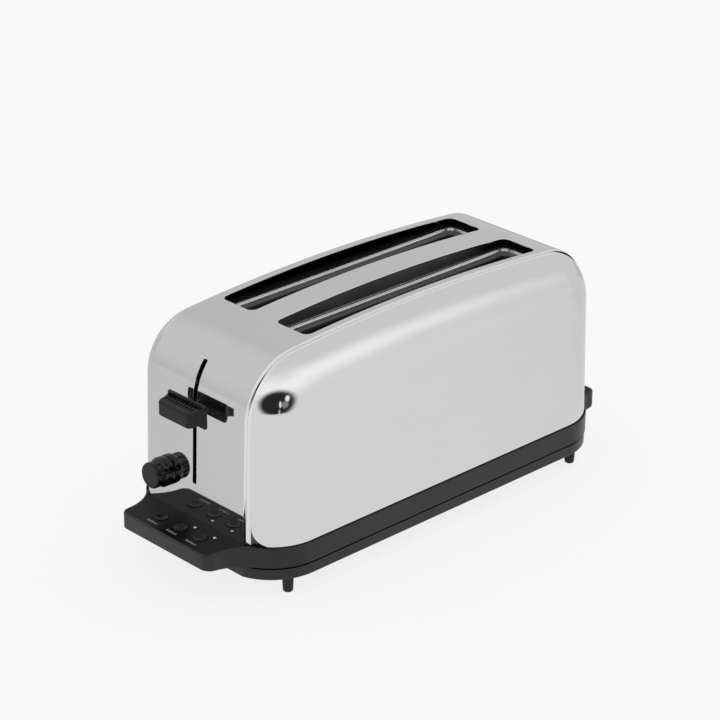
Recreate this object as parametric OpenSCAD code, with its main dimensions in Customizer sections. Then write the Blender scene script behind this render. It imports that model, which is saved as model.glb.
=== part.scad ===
// Long slot toaster: two bread slots along an arched steel body on a black two-part base,
// with the lever, the browning knob and three buttons at one end.
// +X runs along the body towards the rear end, the lever end is at -X, +Z is up.
// The origin is on the table under the middle of the body.

/* [Steel body] */
// Length of the body between the two end panels, at the base
body_len = 345; // [335:1:360]
// Width of the steel strip that forms the ends and the top
wrap_w = 104; // [100:1:108]
// Width of the body over its side panels
body_w = 156; // [152:1:160]
// Height of the crown above the base
crown_h = 141; // [138:1:148]
// Radius of the arched top
arch_r = 1500; // [1400:10:2000]
// Radius of the round corners between the ends and the top
corner_r = 51; // [48:1:54]
// Lean of the end panels, in degrees
end_lean = 2; // [1:0.5:3]
// Radius of the rolled edge of the side panels
roll_r = 42; // [39:1:44]
// Thickness of the sheet steel
sheet = 0.8; // [0.6:0.1:1]
// Width of the flange of the side panels under the strip
flange_w = 6; // [4:1:8]
// Radius of the round lower corners of the side panels
panel_corner = 14; // [10:1:18]

/* [Bread slots] */
// Length of a bread slot
slot_len = 232; // [222:1:237]
// Width of a bread slot
slot_w = 33; // [30:1:35]
// Distance between the centre lines of the two slots
slot_pitch = 57; // [55:1:60]
// Shift of the slots towards the rear end
slot_shift = 9; // [3:0.5:10]
// Corner radius of a slot
slot_corner = 5.5; // [4:0.5:10]
// Depth of the inner deck below the crown
deck_drop = 12.5; // [11:0.5:16]
// Height of the lip round a deck slot
deck_lip = 8; // [5:1:12]
// How much smaller a deck slot is than the slot above it, on each side
deck_inset = 1.5; // [1:0.5:3]

/* [Base] */
// Height of the upper base
upper_h = 16; // [15:1:20]
// Height of the lower base
lower_h = 10; // [9:1:14]
// How far the base stands out round the steel
base_over = 1.3; // [1:0.1:2]
// Step of the lower base inside the upper base
lower_step = 0.7; // [0.3:0.1:1.2]
// Wall of both base mouldings
base_wall = 2.5; // [2:0.1:3]
// Reach of the front ledge beyond the lever end panel
ledge_reach = 31; // [28:1:36]
// Width of the front ledge
ledge_w = 95; // [90:1:98]
// Thickness of the ledges at their tips
ledge_t = 12; // [11:0.5:14]
// Corner radius of the ledges
ledge_corner = 7; // [4:1:9]
// Radius of the hollow sweep between the front ledge and the base
ledge_sweep = 35; // [28:1:38]
// Reach of the rear ledge beyond the rear end panel
rear_reach = 22; // [21:0.5:25]
// Width of the rear ledge
rear_ledge_w = 99; // [94:1:102]
// Radius of the hollow sweep between the rear ledge and the base
rear_sweep = 20; // [16:1:22]
// Thickness of the covers under the ledges
cover_t = 2; // [1.5:0.1:2.5]

/* [Feet] */
// Height of the feet
foot_h = 14; // [10:1:18]
// Diameter of a foot at its top
foot_d = 8.6; // [7:0.2:11]
// Diameter of a foot on the table
foot_tip_d = 7.4; // [5:0.2:9]
// Distance of the feet from the middle of the body, along it
foot_x = 146; // [130:1:150]
// Distance of the feet from the middle of the body, across it
foot_y = 67; // [60:1:68]

/* [Lever] */
// Offset of the lever from the middle of the end panel
lever_y = 2.2; // [0:0.1:3]
// Height of the lever above the base, at rest
lever_z = 88; // [86:1:90]
// Travel of the lever down to toast
lever_down = 56; // [50:1:57]
// Travel of the lever up to lift small slices
lever_up = 24; // [15:1:25]
// Width of the lever slot
lever_slot_w = 3; // [2.6:0.1:4]
// Thickness of the lever arm
arm_t = 2; // [1.5:0.1:2.2]
// Height of the lever arm
arm_h = 6; // [5:0.5:7]
// Gap between the handle and the end panel
handle_off = 8; // [7:0.5:10]
// Offset of the handle from its arm, across the body
handle_side = -3; // [-4:0.5:0]
// Width of the back plate of the handle
handle_plate_w = 40; // [38:0.5:42]
// Height of the back plate of the handle
handle_plate_h = 17.4; // [16:0.2:18.4]
// Thickness of the back plate of the handle
handle_plate_t = 2.2; // [1.8:0.1:3]
// Width of the thumb block
handle_block_w = 35; // [30:0.5:36]
// Height of the thumb block at its front
handle_block_h = 10.8; // [9:0.2:12]
// Depth of the thumb block
handle_block_d = 12.5; // [11:0.5:14]
// Number of grooves on the thumb block
handle_grooves = 10; // [4:1:11]

/* [Knob] */
// Distance of the knob's axis from the edge of the steel strip
knob_in = 18.7; // [16:0.1:19]
// Height of the knob above the base
knob_z = 26.5; // [25:0.5:30]
// Diameter of the knob barrel
knob_d = 19.4; // [16:0.2:20]
// Diameter of the knob skirt
knob_skirt_d = 22; // [20:0.2:22.4]
// Height of the knob skirt
knob_skirt_h = 6.2; // [5:0.1:7]
// Reach of the knob from the end panel
knob_reach = 15; // [13:0.5:18]
// Number of flutes round the knob
knob_flutes = 12; // [8:1:16]
// Diameter of the spindle of the knob
spindle_d = 6; // [5:0.5:6.4]

/* [Buttons] */
// Distance of the buttons from the end panel
button_out = 15.5; // [14:0.5:17]
// Spacing of the three buttons
button_pitch = 21; // [18:0.5:24]
// Offset of the middle button from the middle of the ledge
button_y = -1.2; // [-2:0.1:0]
// Diameter of a button
button_d = 10.4; // [9:0.2:12]
// How far a button stands out of the ledge
button_proud = 0.5; // [0.3:0.1:1]
// Travel of a button
button_travel = 1.2; // [0.8:0.1:1.3]
// Diameter of an indicator lens
lens_d = 2.4; // [2:0.1:4]
// Offset of a lens from its button, along the body
lens_dx = 7.5; // [7:0.5:9]
// Offset of a lens from its button, across the body
lens_dy = 7.1; // [5:0.1:8]

/* [Crumb tray] */
// Width of the crumb tray
tray_w = 90; // [80:1:96]
// Height of the crumb tray
tray_h = 6.8; // [6:0.1:6.9]
// Sheet thickness of the crumb tray
tray_t = 0.8; // [0.6:0.1:1]
// Reach of the tray's pull beyond the base, past the rear ledge
pull_reach = 28; // [24:1:30]

/* [Cooking chamber] */
// Gap between the end of a slot and the front bulkhead
front_gap = 18; // [16:1:20]
// Gap between the end of a slot and the rear bulkhead
rear_gap = 10; // [8:1:12]
// Thickness of the mica boards
mica_t = 1; // [0.6:0.1:1.4]
// Distance of the outer boards beyond the slots
board_gap = 4.5; // [4:0.1:6]
// Height of the lower edge of the boards above the base
board_low = 6; // [5:0.5:9]
// Width of the heating ribbon
ribbon_w = 3; // [2:0.5:4]
// Thickness of the heating ribbon
ribbon_t = 0.3; // [0.2:0.05:0.5]
// Number of upright runs of a heating ribbon
ribbon_runs = 14; // [10:2:18]
// Diameter of the guard wires
wire_d = 1.6; // [1.2:0.1:2]
// Number of upright guard wires
guard_wires = 12; // [8:1:16]
// Width of the bread lifters
lifter_w = 14; // [10:1:18]
// Height of the spine of a bread lifter
lifter_h = 10; // [8:0.5:11]
// Number of fingers on a bread lifter
lifter_fingers = 12; // [8:1:14]
// Thickness of the lifter sheet
lifter_t = 1; // [0.8:0.1:1.2]

/* [Lift] */
// Gap between the front bulkhead and the carriage
carriage_gap = 10; // [8:0.5:11]
// Thickness of the carriage plate
carriage_t = 1.2; // [1:0.1:1.6]
// Width of the carriage plate
carriage_w = 80; // [76:1:84]
// Diameter of the guide rods
rod_d = 5; // [4:0.5:6]
// Spacing of the guide rods
rod_pitch = 60; // [56:1:62]
// Distance of the guide rods from the carriage plate
rod_out = 7; // [6.5:0.5:8]
// Coil diameter of the lift spring
spring_d = 7; // [5:0.5:8]
// Wire diameter of the lift spring
spring_wire = 0.9; // [0.7:0.1:1.1]
// Number of coils of the lift spring
spring_turns = 16; // [10:1:20]
// Height of the magnet
magnet_h = 24; // [20:0.5:26]

/* [Hidden] */
$fn = 96;
arch_fn = 2880;

steel = [0.80, 0.80, 0.81];
black = [0.13, 0.13, 0.14];
mica = [0.72, 0.66, 0.55];
circuit = [0.16, 0.32, 0.20];

// Clearances: between fixed faces, between moving faces, and of a shaft in its hole
fit = 0.1;
run = 0.3;
shaft_fit = 0.05;
// Extra length of a cutter beyond the face that it cuts
past = 1;
// Size of a block that is larger than the whole toaster
huge = 800;

// Heights
lower_z = foot_h;
upper_z = lower_z + lower_h;
base_z = upper_z + upper_h;
ledge_z = base_z - ledge_t;
floor_z = lower_z + base_wall;
roof_z = base_z - base_wall;
crown_z = base_z + crown_h;
deck_z = crown_z - deck_drop;

// Side outline of the body: leaning ends, round corners and an arched top
half_len = body_len / 2;
half_w = body_w / 2;
lean_tan = tan(end_lean);
arch_z = crown_z - arch_r;
corner_a = half_len - corner_r / cos(end_lean);
corner_b = base_z - arch_z;
corner_k = 1 + lean_tan * lean_tan;
corner_p = corner_a * lean_tan - corner_b;
corner_q = corner_a * corner_a + corner_b * corner_b - pow(arch_r - corner_r, 2);
corner_up = (corner_p + sqrt(corner_p * corner_p - corner_k * corner_q)) / corner_k;
corner_z = base_z + corner_up;
corner_x = corner_a - corner_up * lean_tan;
corner_end = atan2(corner_z - arch_z, corner_x);
leg_len = corner_up / cos(end_lean) + corner_r * lean_tan + 2 * past;
// Lap of a corner over its neighbours in degrees, and how much thicker it is there
lap = 0.6;
thicker = 0.05;

// Rolled edge of the side panels, which starts at a crease beside the strip
roll_y = half_w - roll_r;
roll_start = asin((wrap_w / 2 - roll_y) / roll_r);
panel_drop = sheet + fit + 2 * thicker;
roll_inset = panel_drop + roll_r * cos(roll_start);
flat_border = 5;

// Plan of the base
base_r = roll_r + base_over;
base_corner_x = round(100 * (half_len - roll_inset)) / 100;
base_front = half_len + base_over;
ledge_front = half_len + ledge_reach;
ledge_rear = half_len + rear_reach;

// Places along the body
slot_y = slot_pitch / 2;
slot_front = slot_shift - slot_len / 2;
slot_rear = slot_shift + slot_len / 2;
front_wall = slot_front - front_gap;
rear_wall = slot_rear + rear_gap;
chamber_len = rear_wall - front_wall;
carriage_x = front_wall - sheet - carriage_gap;
plate_front = carriage_x - carriage_t;
rod_x = plate_front - rod_out;
channel_half = slot_w / 2 - deck_inset - wire_d;

// Heights inside
arm_z = base_z + lever_z;
slot_low = arm_z - lever_down - arm_h / 2 - 1.5;
slot_high = arm_z + lever_up + arm_h / 2 + 4.5;
bracket_t = 1.2;
bracket_z = arm_z + lever_up + arm_h / 2 + 2;
carriage_top = bracket_z - lever_up - 1;
carriage_low = base_z + lever_down + 4;
lifter_z = carriage_low + 2;
spring_tab_t = 1.2;
spring_low = carriage_low + spring_tab_t;
spring_y = lever_y + 13;
spring_pin_l = 1.5;
wall_top = deck_z - sheet;
board_top = deck_z - deck_lip - 1;

// Base fittings
boss_d = 8;
boss_x = 120;
boss_y = 64;
screw_d = 2.9;
screw_head_d = 6;
screw_head_h = 1.6;
screw_grip = 10;
rim_h = 5;
rim_t = 2;
opening_edge = 6;
wall_flange = 10;
wall_screw_y = wrap_w / 2 - 6;
foot_stem_d = 5;
vent_w = 3;
vent_l = 40;
vent_pitch = 9;
vents = 9;
vent_x = 50;

// Button stack in the front ledge
button_x = -(half_len + button_out);
button_rim = 1.2;
button_rim_t = 1;
button_top = base_z + button_proud;
button_low = roof_z - run - button_rim_t;
key_top = button_low - button_travel - run;
key_w = 6;
key_h = 1.4;
board_t = 1.4;
board_z = key_top - key_h - board_t;
board_w = 2 * button_pitch + 30;
board_d = 20;
post_d = 5;

// Knob stack on the front panel
knob_y = wrap_w / 2 - knob_in;
panel_hole_d = 8;
spindle_in = 8;
pot_d = 16;
pot_h = 9;
pot_nose_d = 7.4;
pcb_t = 1.6;
pcb_w = 36;
pcb_low = -knob_z + 2;
pcb_h = 46;

function side_y(side) = side * slot_y;

// Rounded rectangle, centred
module rounded_rect(l, w, r) {
  square([l - 2 * r, w], center = true);
  square([l, w - 2 * r], center = true);
  for (x = [-1, 1], y = [-1, 1]) translate([x * (l / 2 - r), y * (w / 2 - r)]) circle(r);
}

// Corner points of the body seen from the long side, moved in by inset, from one base end to the other
function side_points(inset, low) =
  let (
    r = corner_r - inset,
    leg_x = corner_x + r * cos(end_lean),
    low_x = leg_x + (corner_z + r * sin(end_lean) - low) * lean_tan,
    arch_span = 90 - corner_end,
    bend = [for (k = [0:6]) let (a = end_lean + (corner_end - end_lean) * k / 6)
      [corner_x + r * cos(a), corner_z + r * sin(a)]],
    top = [for (k = [-5:5]) let (a = 90 - arch_span * k / 6)
      [(arch_r - inset) * cos(a), arch_z + (arch_r - inset) * sin(a)]]
  )
  concat(
    [[low_x, low]], bend, [for (k = [10:-1:0]) top[k]],
    [for (k = [6:-1:0]) [-bend[k][0], bend[k][1]]], [[-low_x, low]]
  );

// Sweeps a section round both ends and over the top.
// In the section x is outwards from the steel's outer face, and y runs towards -Y.
// The corners are thicker by $grow all round, and lap over their neighbours.
module sweep_over_body() {
  translate([0, 0, arch_z]) rotate([90, 0, 0])
    rotate_extrude(angle = 180 - 2 * corner_end, start = corner_end, $fn = arch_fn)
      translate([arch_r, 0]) let ($grow = 0) children();
  for (side = [0, 1]) mirror([side, 0, 0]) translate([corner_x, 0, corner_z]) {
    rotate([90, 0, 0]) rotate_extrude(angle = corner_end - end_lean + 2 * lap, start = end_lean - lap)
      translate([corner_r, 0]) let ($grow = thicker) children();
    rotate([0, -end_lean, 0]) rotate([180, 0, 0]) linear_extrude(leg_len)
      translate([corner_r, 0]) let ($grow = 0) children();
  }
}

// Everything above the top of the base
module above_base() {
  translate([-huge / 2, -huge / 2, base_z]) cube(huge);
}

// Places children on the lever end panel at y and z above the base, with +Z out of the panel
module on_front_panel(y, z) {
  translate([-(half_len - z * lean_tan), y, base_z + z]) rotate([0, end_lean - 90, 0]) children();
}

// Places children on the rear end panel at y and z above the base, with +Z out of the panel
module on_rear_panel(y, z) {
  translate([half_len - z * lean_tan, y, base_z + z]) rotate([0, 90 - end_lean, 0]) children();
}

// Plan of the base under the steel body, moved in by inset
module main_plan(inset) {
  r = base_r - inset;
  front = base_front - inset;
  front_y = roll_y + sqrt(max(0, r * r - pow(front - base_corner_x, 2))) - past;
  square([2 * front, 2 * front_y], center = true);
  square([2 * base_corner_x, 2 * (half_w + base_over - inset)], center = true);
  intersection() {
    square([2 * front, body_w + 2 * base_over], center = true);
    for (x = [-1, 1], y = [-1, 1]) translate([x * base_corner_x, y * roll_y]) circle(r);
  }
}

// Plan of one ledge at -X with its hollow sweeps into the base
module ledge_plan(front, half, sweep) {
  sweep_y = half + sweep;
  sweep_x = base_corner_x + sqrt(pow(base_r + sweep, 2) - pow(sweep_y - roll_y, 2));
  touch = base_r / (base_r + sweep);
  touch_x = base_corner_x + touch * (sweep_x - base_corner_x);
  touch_y = roll_y + touch * (sweep_y - roll_y);
  ledge_inside(front, half, ledge_corner);
  for (side = [-1, 1]) scale([1, side]) difference() {
    polygon([
      [-sweep_x, half - ledge_corner], [-sweep_x, sweep_y], [-touch_x, touch_y], [-base_corner_x, roll_y]
    ]);
    translate([-sweep_x, sweep_y]) circle(sweep - thicker);
  }
}

// Rounded rectangle from the front of the ledge at -X to inside the base
module ledge_inside(front, half, corner) {
  len = front - base_corner_x;
  translate([-(front + base_corner_x) / 2, 0]) rounded_rect(len, 2 * half, corner);
}

// Plan of the base with both ledges
module full_plan() {
  main_plan(0);
  ledge_plan(ledge_front, ledge_w / 2, ledge_sweep);
  mirror([1, 0]) ledge_plan(ledge_rear, rear_ledge_w / 2, rear_sweep);
}

// Hollow of one ledge, moved in by gap
module ledge_hollow(front, half, gap) {
  inset = base_wall + gap;
  ledge_inside(front - inset, half - inset, ledge_corner - base_wall);
}

// Everything in front of the base at -X, in plan, moved out by gap
module before_base(gap) {
  translate([-base_front - gap - huge, -huge / 2]) square(huge);
}

// Space under a ledge at -X, whose underside falls from its tip towards the base
module under_ledge(front) {
  step = 0.4;
  translate([0, huge / 2, 0]) rotate([90, 0, 0]) linear_extrude(huge) polygon([
    [-front - past, upper_z - past], [-base_front, upper_z - past],
    [-base_front, upper_z + step], [-front - past, ledge_z]
  ]);
}

// Space inside a ledge at -X, open to the base and from below
module inside_ledge(front, half) {
  translate([0, 0, upper_z - past]) linear_extrude(upper_h + past - base_wall) intersection() {
    ledge_hollow(front, half, 0);
    before_base(run);
  }
  translate([0, 0, ledge_z + cover_t]) linear_extrude(ledge_t - cover_t - base_wall)
    ledge_hollow(front, half, 0);
}

// Black upper moulding that carries the steel body and both ledges
module upper_base() {
  color(black) difference() {
    union() {
      difference() {
        translate([0, 0, upper_z]) linear_extrude(upper_h) full_plan();
        under_ledge(ledge_front);
        mirror([1, 0, 0]) under_ledge(ledge_rear);
        translate([0, 0, upper_z - past]) linear_extrude(upper_h + past - base_wall) main_plan(base_wall);
        inside_ledge(ledge_front, ledge_w / 2);
        mirror([1, 0, 0]) inside_ledge(ledge_rear, rear_ledge_w / 2);
      }
      for (x = [-1, 0, 1], y = [-1, 1]) translate([x * boss_x, y * boss_y, floor_z])
        cylinder(d = boss_d, h = base_z - floor_z - base_wall / 2);
      locating_rim();
    }
    translate([front_wall + opening_edge, -(slot_y + slot_w / 2), roof_z - past])
      cube([chamber_len - 2 * opening_edge, slot_pitch + slot_w, base_wall + 2 * past]);
    for (k = [-1, 0, 1]) translate([button_x, button_y + k * button_pitch, roof_z - past])
      cylinder(d = button_d + 2 * run, h = base_wall + 2 * past);
    for (k = [-1, 0]) translate([button_x + lens_dx, button_y + k * button_pitch - lens_dy, roof_z - past])
      cylinder(d = lens_d + fit, h = base_wall + 2 * past);
    for (x = [-1, 0, 1], y = [-1, 1]) translate([x * boss_x, y * boss_y, floor_z - past])
      cylinder(d = screw_d + fit, h = 1.2 * screw_grip + past);
    wall_screw_places() translate([0, 0, -base_wall - past])
      cylinder(d = screw_d + fit, h = base_wall + 2 * past);
  }
}

// Low rim on the upper base that locates the steel from inside
module locating_rim() {
  rim_in = base_over + sheet + run + rim_h * lean_tan;
  translate([0, 0, base_z - past]) linear_extrude(rim_h + past) difference() {
    main_plan(rim_in);
    main_plan(rim_in + rim_t);
  }
}

// Black lower moulding with the vents and the way out for the crumb tray
module lower_base() {
  color(black) difference() {
    translate([0, 0, lower_z]) linear_extrude(lower_h) main_plan(lower_step);
    translate([0, 0, floor_z]) linear_extrude(lower_h) main_plan(lower_step + base_wall);
    translate([half_len - 2 * base_wall, -tray_w / 2 - run, floor_z])
      cube([4 * base_wall, tray_w + 2 * run, lower_h]);
    for (x = [-1, 1], k = [0:vents - 1])
      translate([x * vent_x, (k - (vents - 1) / 2) * vent_pitch, lower_z - past])
        linear_extrude(base_wall + 2 * past) rounded_rect(vent_l, vent_w, vent_w / 2 - 0.01);
    for (x = [-1, 0, 1], y = [-1, 1]) translate([x * boss_x, y * boss_y, lower_z - past]) {
      cylinder(d = screw_d + 2 * fit, h = base_wall + 2 * past);
      cylinder(d = screw_head_d + 4 * fit, h = past + base_wall / 2);
    }
    for (x = [-1, 1], y = [-1, 1]) translate([x * foot_x, y * foot_y, lower_z - past])
      cylinder(d = foot_stem_d + fit, h = base_wall + 2 * past);
  }
}

// Four peg feet, each with a stem in the lower base
module feet() {
  tip_r = 1;
  color(black) for (x = [-1, 1], y = [-1, 1]) translate([x * foot_x, y * foot_y, 0]) {
    cylinder(d1 = foot_tip_d - 2 * tip_r, d2 = foot_tip_d, h = tip_r);
    translate([0, 0, tip_r]) cylinder(d1 = foot_tip_d, d2 = foot_d, h = foot_h - tip_r);
    translate([0, 0, foot_h]) cylinder(d = foot_stem_d, h = base_wall);
  }
}

// Flat cover that closes a ledge at -X from below
module ledge_cover(front, half) {
  translate([0, 0, ledge_z]) linear_extrude(cover_t) intersection() {
    ledge_hollow(front, half, fit);
    before_base(run + fit);
  }
}

// Front cover with the posts of the button board
module front_ledge_cover() {
  color(black) {
    ledge_cover(ledge_front, ledge_w / 2);
    for (k = [-1, 1]) translate([button_x, button_y + k * button_pitch * 1.4, ledge_z + cover_t / 2])
      cylinder(d = post_d, h = board_z - ledge_z - cover_t / 2);
  }
}

// Rear cover
module rear_ledge_cover() {
  color(black) mirror([1, 0, 0]) ledge_cover(ledge_rear, rear_ledge_w / 2);
}

// Bright steel strip: lever end, arched top and rear end in one piece
module outer_wrap() {
  color(steel) difference() {
    intersection() {
      sweep_over_body() translate([-sheet - $grow, -wrap_w / 2 - $grow])
        square([sheet + 2 * $grow, wrap_w + 2 * $grow]);
      above_base();
    }
    for (side = [-1, 1]) translate([slot_shift, side_y(side), deck_z])
      linear_extrude(huge) rounded_rect(slot_len, slot_w, slot_corner);
    translate([-huge, lever_y - lever_slot_w / 2, slot_low])
      cube([huge + front_wall, lever_slot_w, slot_high - slot_low]);
    on_front_panel(knob_y, knob_z) cylinder(d = panel_hole_d, h = 6 * sheet, center = true);
    on_rear_panel(gland_y, gland_z) cylinder(d = gland_d, h = 6 * sheet, center = true);
  }
}

// Section of a side panel: flange under the strip, crease, rolled edge and the border of the flat
module panel_section(grow) {
  reach = 2 * roll_r;
  out = [reach * cos(roll_start), reach * sin(roll_start)];
  back = [grow * sin(roll_start), -grow * cos(roll_start)];
  translate([-roll_inset, roll_y]) intersection() {
    difference() {
      circle(roll_r + grow);
      circle(roll_r - sheet - grow);
    }
    polygon([[-grow, 0], back, out + back, [reach, reach], [-grow, reach]]);
  }
  translate([-panel_drop - sheet - grow, wrap_w / 2 - flange_w - grow])
    square([sheet + 2 * grow, flange_w + grow]);
  translate([-roll_inset - flat_border - grow, half_w - sheet - grow])
    square([flat_border + grow + past / 2, sheet + 2 * grow]);
}

// Polished side panel on the -Y side
module side_panel() {
  intersection() {
    difference() {
      union() {
        sweep_over_body() panel_section($grow);
        translate([0, sheet + 2 * thicker - half_w, 0]) rotate([90, 0, 0])
          linear_extrude(sheet + 4 * thicker)
            polygon(side_points(roll_inset + flat_border / 2, base_z - past));
      }
      mirror([0, 1, 0]) rotate([90, 0, 90]) linear_extrude(huge, center = true) difference() {
        translate([wrap_w / 2 - flange_w - past, base_z - past])
          square([flange_w + past + panel_corner, panel_corner + past]);
        translate([wrap_w / 2 + panel_corner, base_z + panel_corner]) circle(panel_corner);
      }
    }
    above_base();
  }
}

module side_panel_near() {
  color(steel) side_panel();
}

module side_panel_far() {
  color(steel) mirror([0, 1, 0]) side_panel();
}

// Flat inner deck below the strip, with a lip round each slot
module slot_deck() {
  deck_edge = 2;
  deck_w = 2 * (slot_y + slot_w / 2 + 2 * board_gap);
  deck_len = chamber_len + 2 * (sheet + deck_edge);
  hole_l = slot_len - 2 * deck_inset;
  hole_w = slot_w - 2 * deck_inset;
  hole_r = slot_corner - deck_inset;
  color(steel) difference() {
    union() {
      translate([front_wall - sheet - deck_edge, -deck_w / 2, deck_z - sheet])
        cube([deck_len, deck_w, sheet]);
      for (side = [-1, 1]) translate([slot_shift, side_y(side), deck_z - deck_lip])
        linear_extrude(deck_lip) rounded_rect(hole_l + 2 * sheet, hole_w + 2 * sheet, hole_r + sheet);
    }
    for (side = [-1, 1]) translate([slot_shift, side_y(side), deck_z - deck_lip - past])
      linear_extrude(deck_lip + 2 * past) rounded_rect(hole_l, hole_w, hole_r);
  }
}

// Upright end wall of the cooking chamber at x, with a foot flange that points along dir
module bulkhead(x, dir) {
  wall_w = 2 * (slot_y + slot_w / 2 + 2 * board_gap + 1);
  slit_w = 3 * lifter_t;
  slit_low = lifter_z - lever_down - 2;
  slit_high = lifter_z + lifter_h + lever_up + 2;
  difference() {
    union() {
      translate([dir > 0 ? x : x - sheet, -wall_w / 2, base_z]) cube([sheet, wall_w, wall_top - base_z]);
      translate([dir > 0 ? x : x - sheet - wall_flange, -wall_w / 2, base_z])
        cube([sheet + wall_flange, wall_w, sheet]);
    }
    for (side = [-1, 1]) translate([x - 2 * sheet, side_y(side) - slit_w / 2, slit_low])
      cube([4 * sheet, slit_w, slit_high - slit_low]);
    wall_screw_places() translate([0, 0, -past]) cylinder(d = screw_d + 2 * fit, h = 2 * past + sheet);
  }
}

module front_bulkhead() {
  color(steel) bulkhead(front_wall, -1);
}

module rear_bulkhead() {
  color(steel) bulkhead(rear_wall, 1);
}

// The places of the four bulkhead screws on the base
module wall_screw_places() {
  for (x = [front_wall - sheet - wall_flange / 2, rear_wall + sheet + wall_flange / 2], y = [-1, 1])
    translate([x, y * wall_screw_y, base_z]) children();
}

// Bracket on the front bulkhead that holds the tops of the guide rods
module rod_bracket() {
  bracket_w = rod_pitch + 3 * rod_d;
  bracket_out = front_wall - sheet - rod_x + 1.4 * rod_d;
  lip = 8;
  color(steel) difference() {
    union() {
      translate([front_wall - sheet - bracket_out, -bracket_w / 2, bracket_z])
        cube([bracket_out, bracket_w, bracket_t]);
      translate([front_wall - sheet - bracket_t, -bracket_w / 2, bracket_z])
        cube([bracket_t, bracket_w, lip]);
    }
    for (side = [-1, 1]) translate([rod_x, side * rod_pitch / 2, bracket_z - past])
      cylinder(d = rod_d + fit, h = bracket_t + 2 * past);
  }
}

// Two upright rods that the carriage slides on
module guide_rods() {
  color(steel) for (side = [-1, 1]) translate([rod_x, side * rod_pitch / 2, base_z])
    cylinder(d = rod_d, h = bracket_z + bracket_t - base_z + 1);
}

// Points of a ring of a tube at an angle of the helix
function helix_ring(turn, sides, r, wire, low, rise) = [
  for (k = [0:sides - 1])
    let (a = 360 * turn, b = 360 * k / sides, out = r + wire / 2 * cos(b))
      [out * cos(a), out * sin(a), low + rise * turn + wire / 2 * sin(b)]
];

// Coil spring as one unbroken tube
module coil(r, wire, low, high, turns, steps, sides) {
  rise = (high - low - wire) / turns;
  rings = turns * steps;
  points = [for (i = [0:rings]) each helix_ring(i / steps, sides, r, wire, low + wire / 2, rise)];
  walls = [
    for (i = [0:rings - 1], k = [0:sides - 1])
      let (a = i * sides + k, b = i * sides + (k + 1) % sides)
        each [[a, b, b + sides], [a, b + sides, a + sides]]
  ];
  first = [for (k = [1:sides - 2]) [0, k + 1, k]];
  end = rings * sides;
  last = [for (k = [1:sides - 2]) [end, end + k, end + k + 1]];
  polyhedron(points, concat(walls, first, last));
}

// Spring that pulls the carriage up
module lift_spring() {
  color(steel) translate([rod_x, spring_y, 0])
    coil(spring_d / 2 - spring_wire / 2, spring_wire, spring_low + fit, bracket_z - fit, spring_turns, 10, 6);
}

// Mica board with its middle plane at y
module mica_board(y) {
  color(mica) translate([front_wall, y - mica_t / 2, base_z + board_low])
    cube([chamber_len, mica_t, board_top - base_z - board_low]);
}

outer_board_y = slot_y + slot_w / 2 + board_gap + mica_t / 2;

module mica_board_near() {
  mica_board(-outer_board_y);
}

module mica_board_centre() {
  mica_board(0);
}

module mica_board_far() {
  mica_board(outer_board_y);
}

// Heating ribbon that runs up and down a board face at y and stands out along dir
module heater_ribbon(y, dir) {
  margin = 8;
  pitch = (chamber_len - 2 * margin - ribbon_w) / (ribbon_runs - 1);
  low = base_z + board_low + margin;
  high = board_top - margin;
  color(steel) translate([front_wall + margin, dir > 0 ? y : y - ribbon_t, 0]) {
    for (k = [0:ribbon_runs - 1]) translate([k * pitch, 0, low]) cube([ribbon_w, ribbon_t, high - low]);
    for (k = [0:ribbon_runs - 2]) translate([k * pitch, 0, k % 2 == 0 ? high - ribbon_w : low])
      cube([pitch + ribbon_w, ribbon_t, ribbon_w]);
  }
}

module heater_ribbon_near() {
  heater_ribbon(mica_t / 2 - outer_board_y, 1);
}

module heater_ribbon_centre() {
  heater_ribbon(mica_t / 2, 1);
  heater_ribbon(-mica_t / 2, -1);
}

module heater_ribbon_far() {
  heater_ribbon(outer_board_y - mica_t / 2, -1);
}

// Wire guard of one side of a slot, at y
module bread_guard(y) {
  low = base_z + board_low;
  high = board_top;
  pitch = slot_len / guard_wires;
  color(steel) {
    for (z = [low + wire_d, high - wire_d]) translate([front_wall, y, z]) rotate([0, 90, 0])
      cylinder(d = wire_d, h = chamber_len);
    for (k = [0:guard_wires - 1]) translate([slot_front + (k + 0.5) * pitch, y, low])
      cylinder(d = wire_d, h = high - low);
  }
}

// Both guards of the slot on one side
module bread_guards(side) {
  guard_y = channel_half + wire_d / 2;
  bread_guard(side_y(side) - guard_y);
  bread_guard(side_y(side) + guard_y);
}

module bread_guards_near() {
  bread_guards(-1);
}

module bread_guards_far() {
  bread_guards(1);
}

// Magnet that holds the carriage down
magnet_y = lever_y - 15;
magnet_w = 14;
pole_w = 4;
coil_wall = 2.5;
magnet_d = 2 * (rod_out - coil_wall - 2 * run);

module magnet_core() {
  color(steel) translate([rod_x - magnet_d / 2, magnet_y - magnet_w / 2, base_z]) difference() {
    cube([magnet_d, magnet_w, magnet_h]);
    translate([-past, pole_w, pole_w]) cube([magnet_d + 2 * past, magnet_w - 2 * pole_w, magnet_h]);
  }
}

// Winding on one leg of the magnet
module magnet_coil() {
  low = base_z + pole_w + 1;
  high = base_z + magnet_h - 5;
  y = magnet_y - magnet_w / 2;
  color([0.62, 0.33, 0.16]) difference() {
    translate([rod_x - magnet_d / 2 - coil_wall, y - coil_wall, low])
      cube([magnet_d + 2 * coil_wall, pole_w + 2 * coil_wall, high - low]);
    translate([rod_x - magnet_d / 2 - fit, y - fit, low - past])
      cube([magnet_d + 2 * fit, pole_w + 2 * fit, high - low + 2 * past]);
  }
}

// Control board behind the lever end panel
module control_board() {
  color(circuit) on_front_panel(knob_y, knob_z)
    translate([pcb_low, -pcb_w / 2, -sheet - fit - pot_h - pcb_t]) cube([pcb_h, pcb_w, pcb_t]);
}

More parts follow.
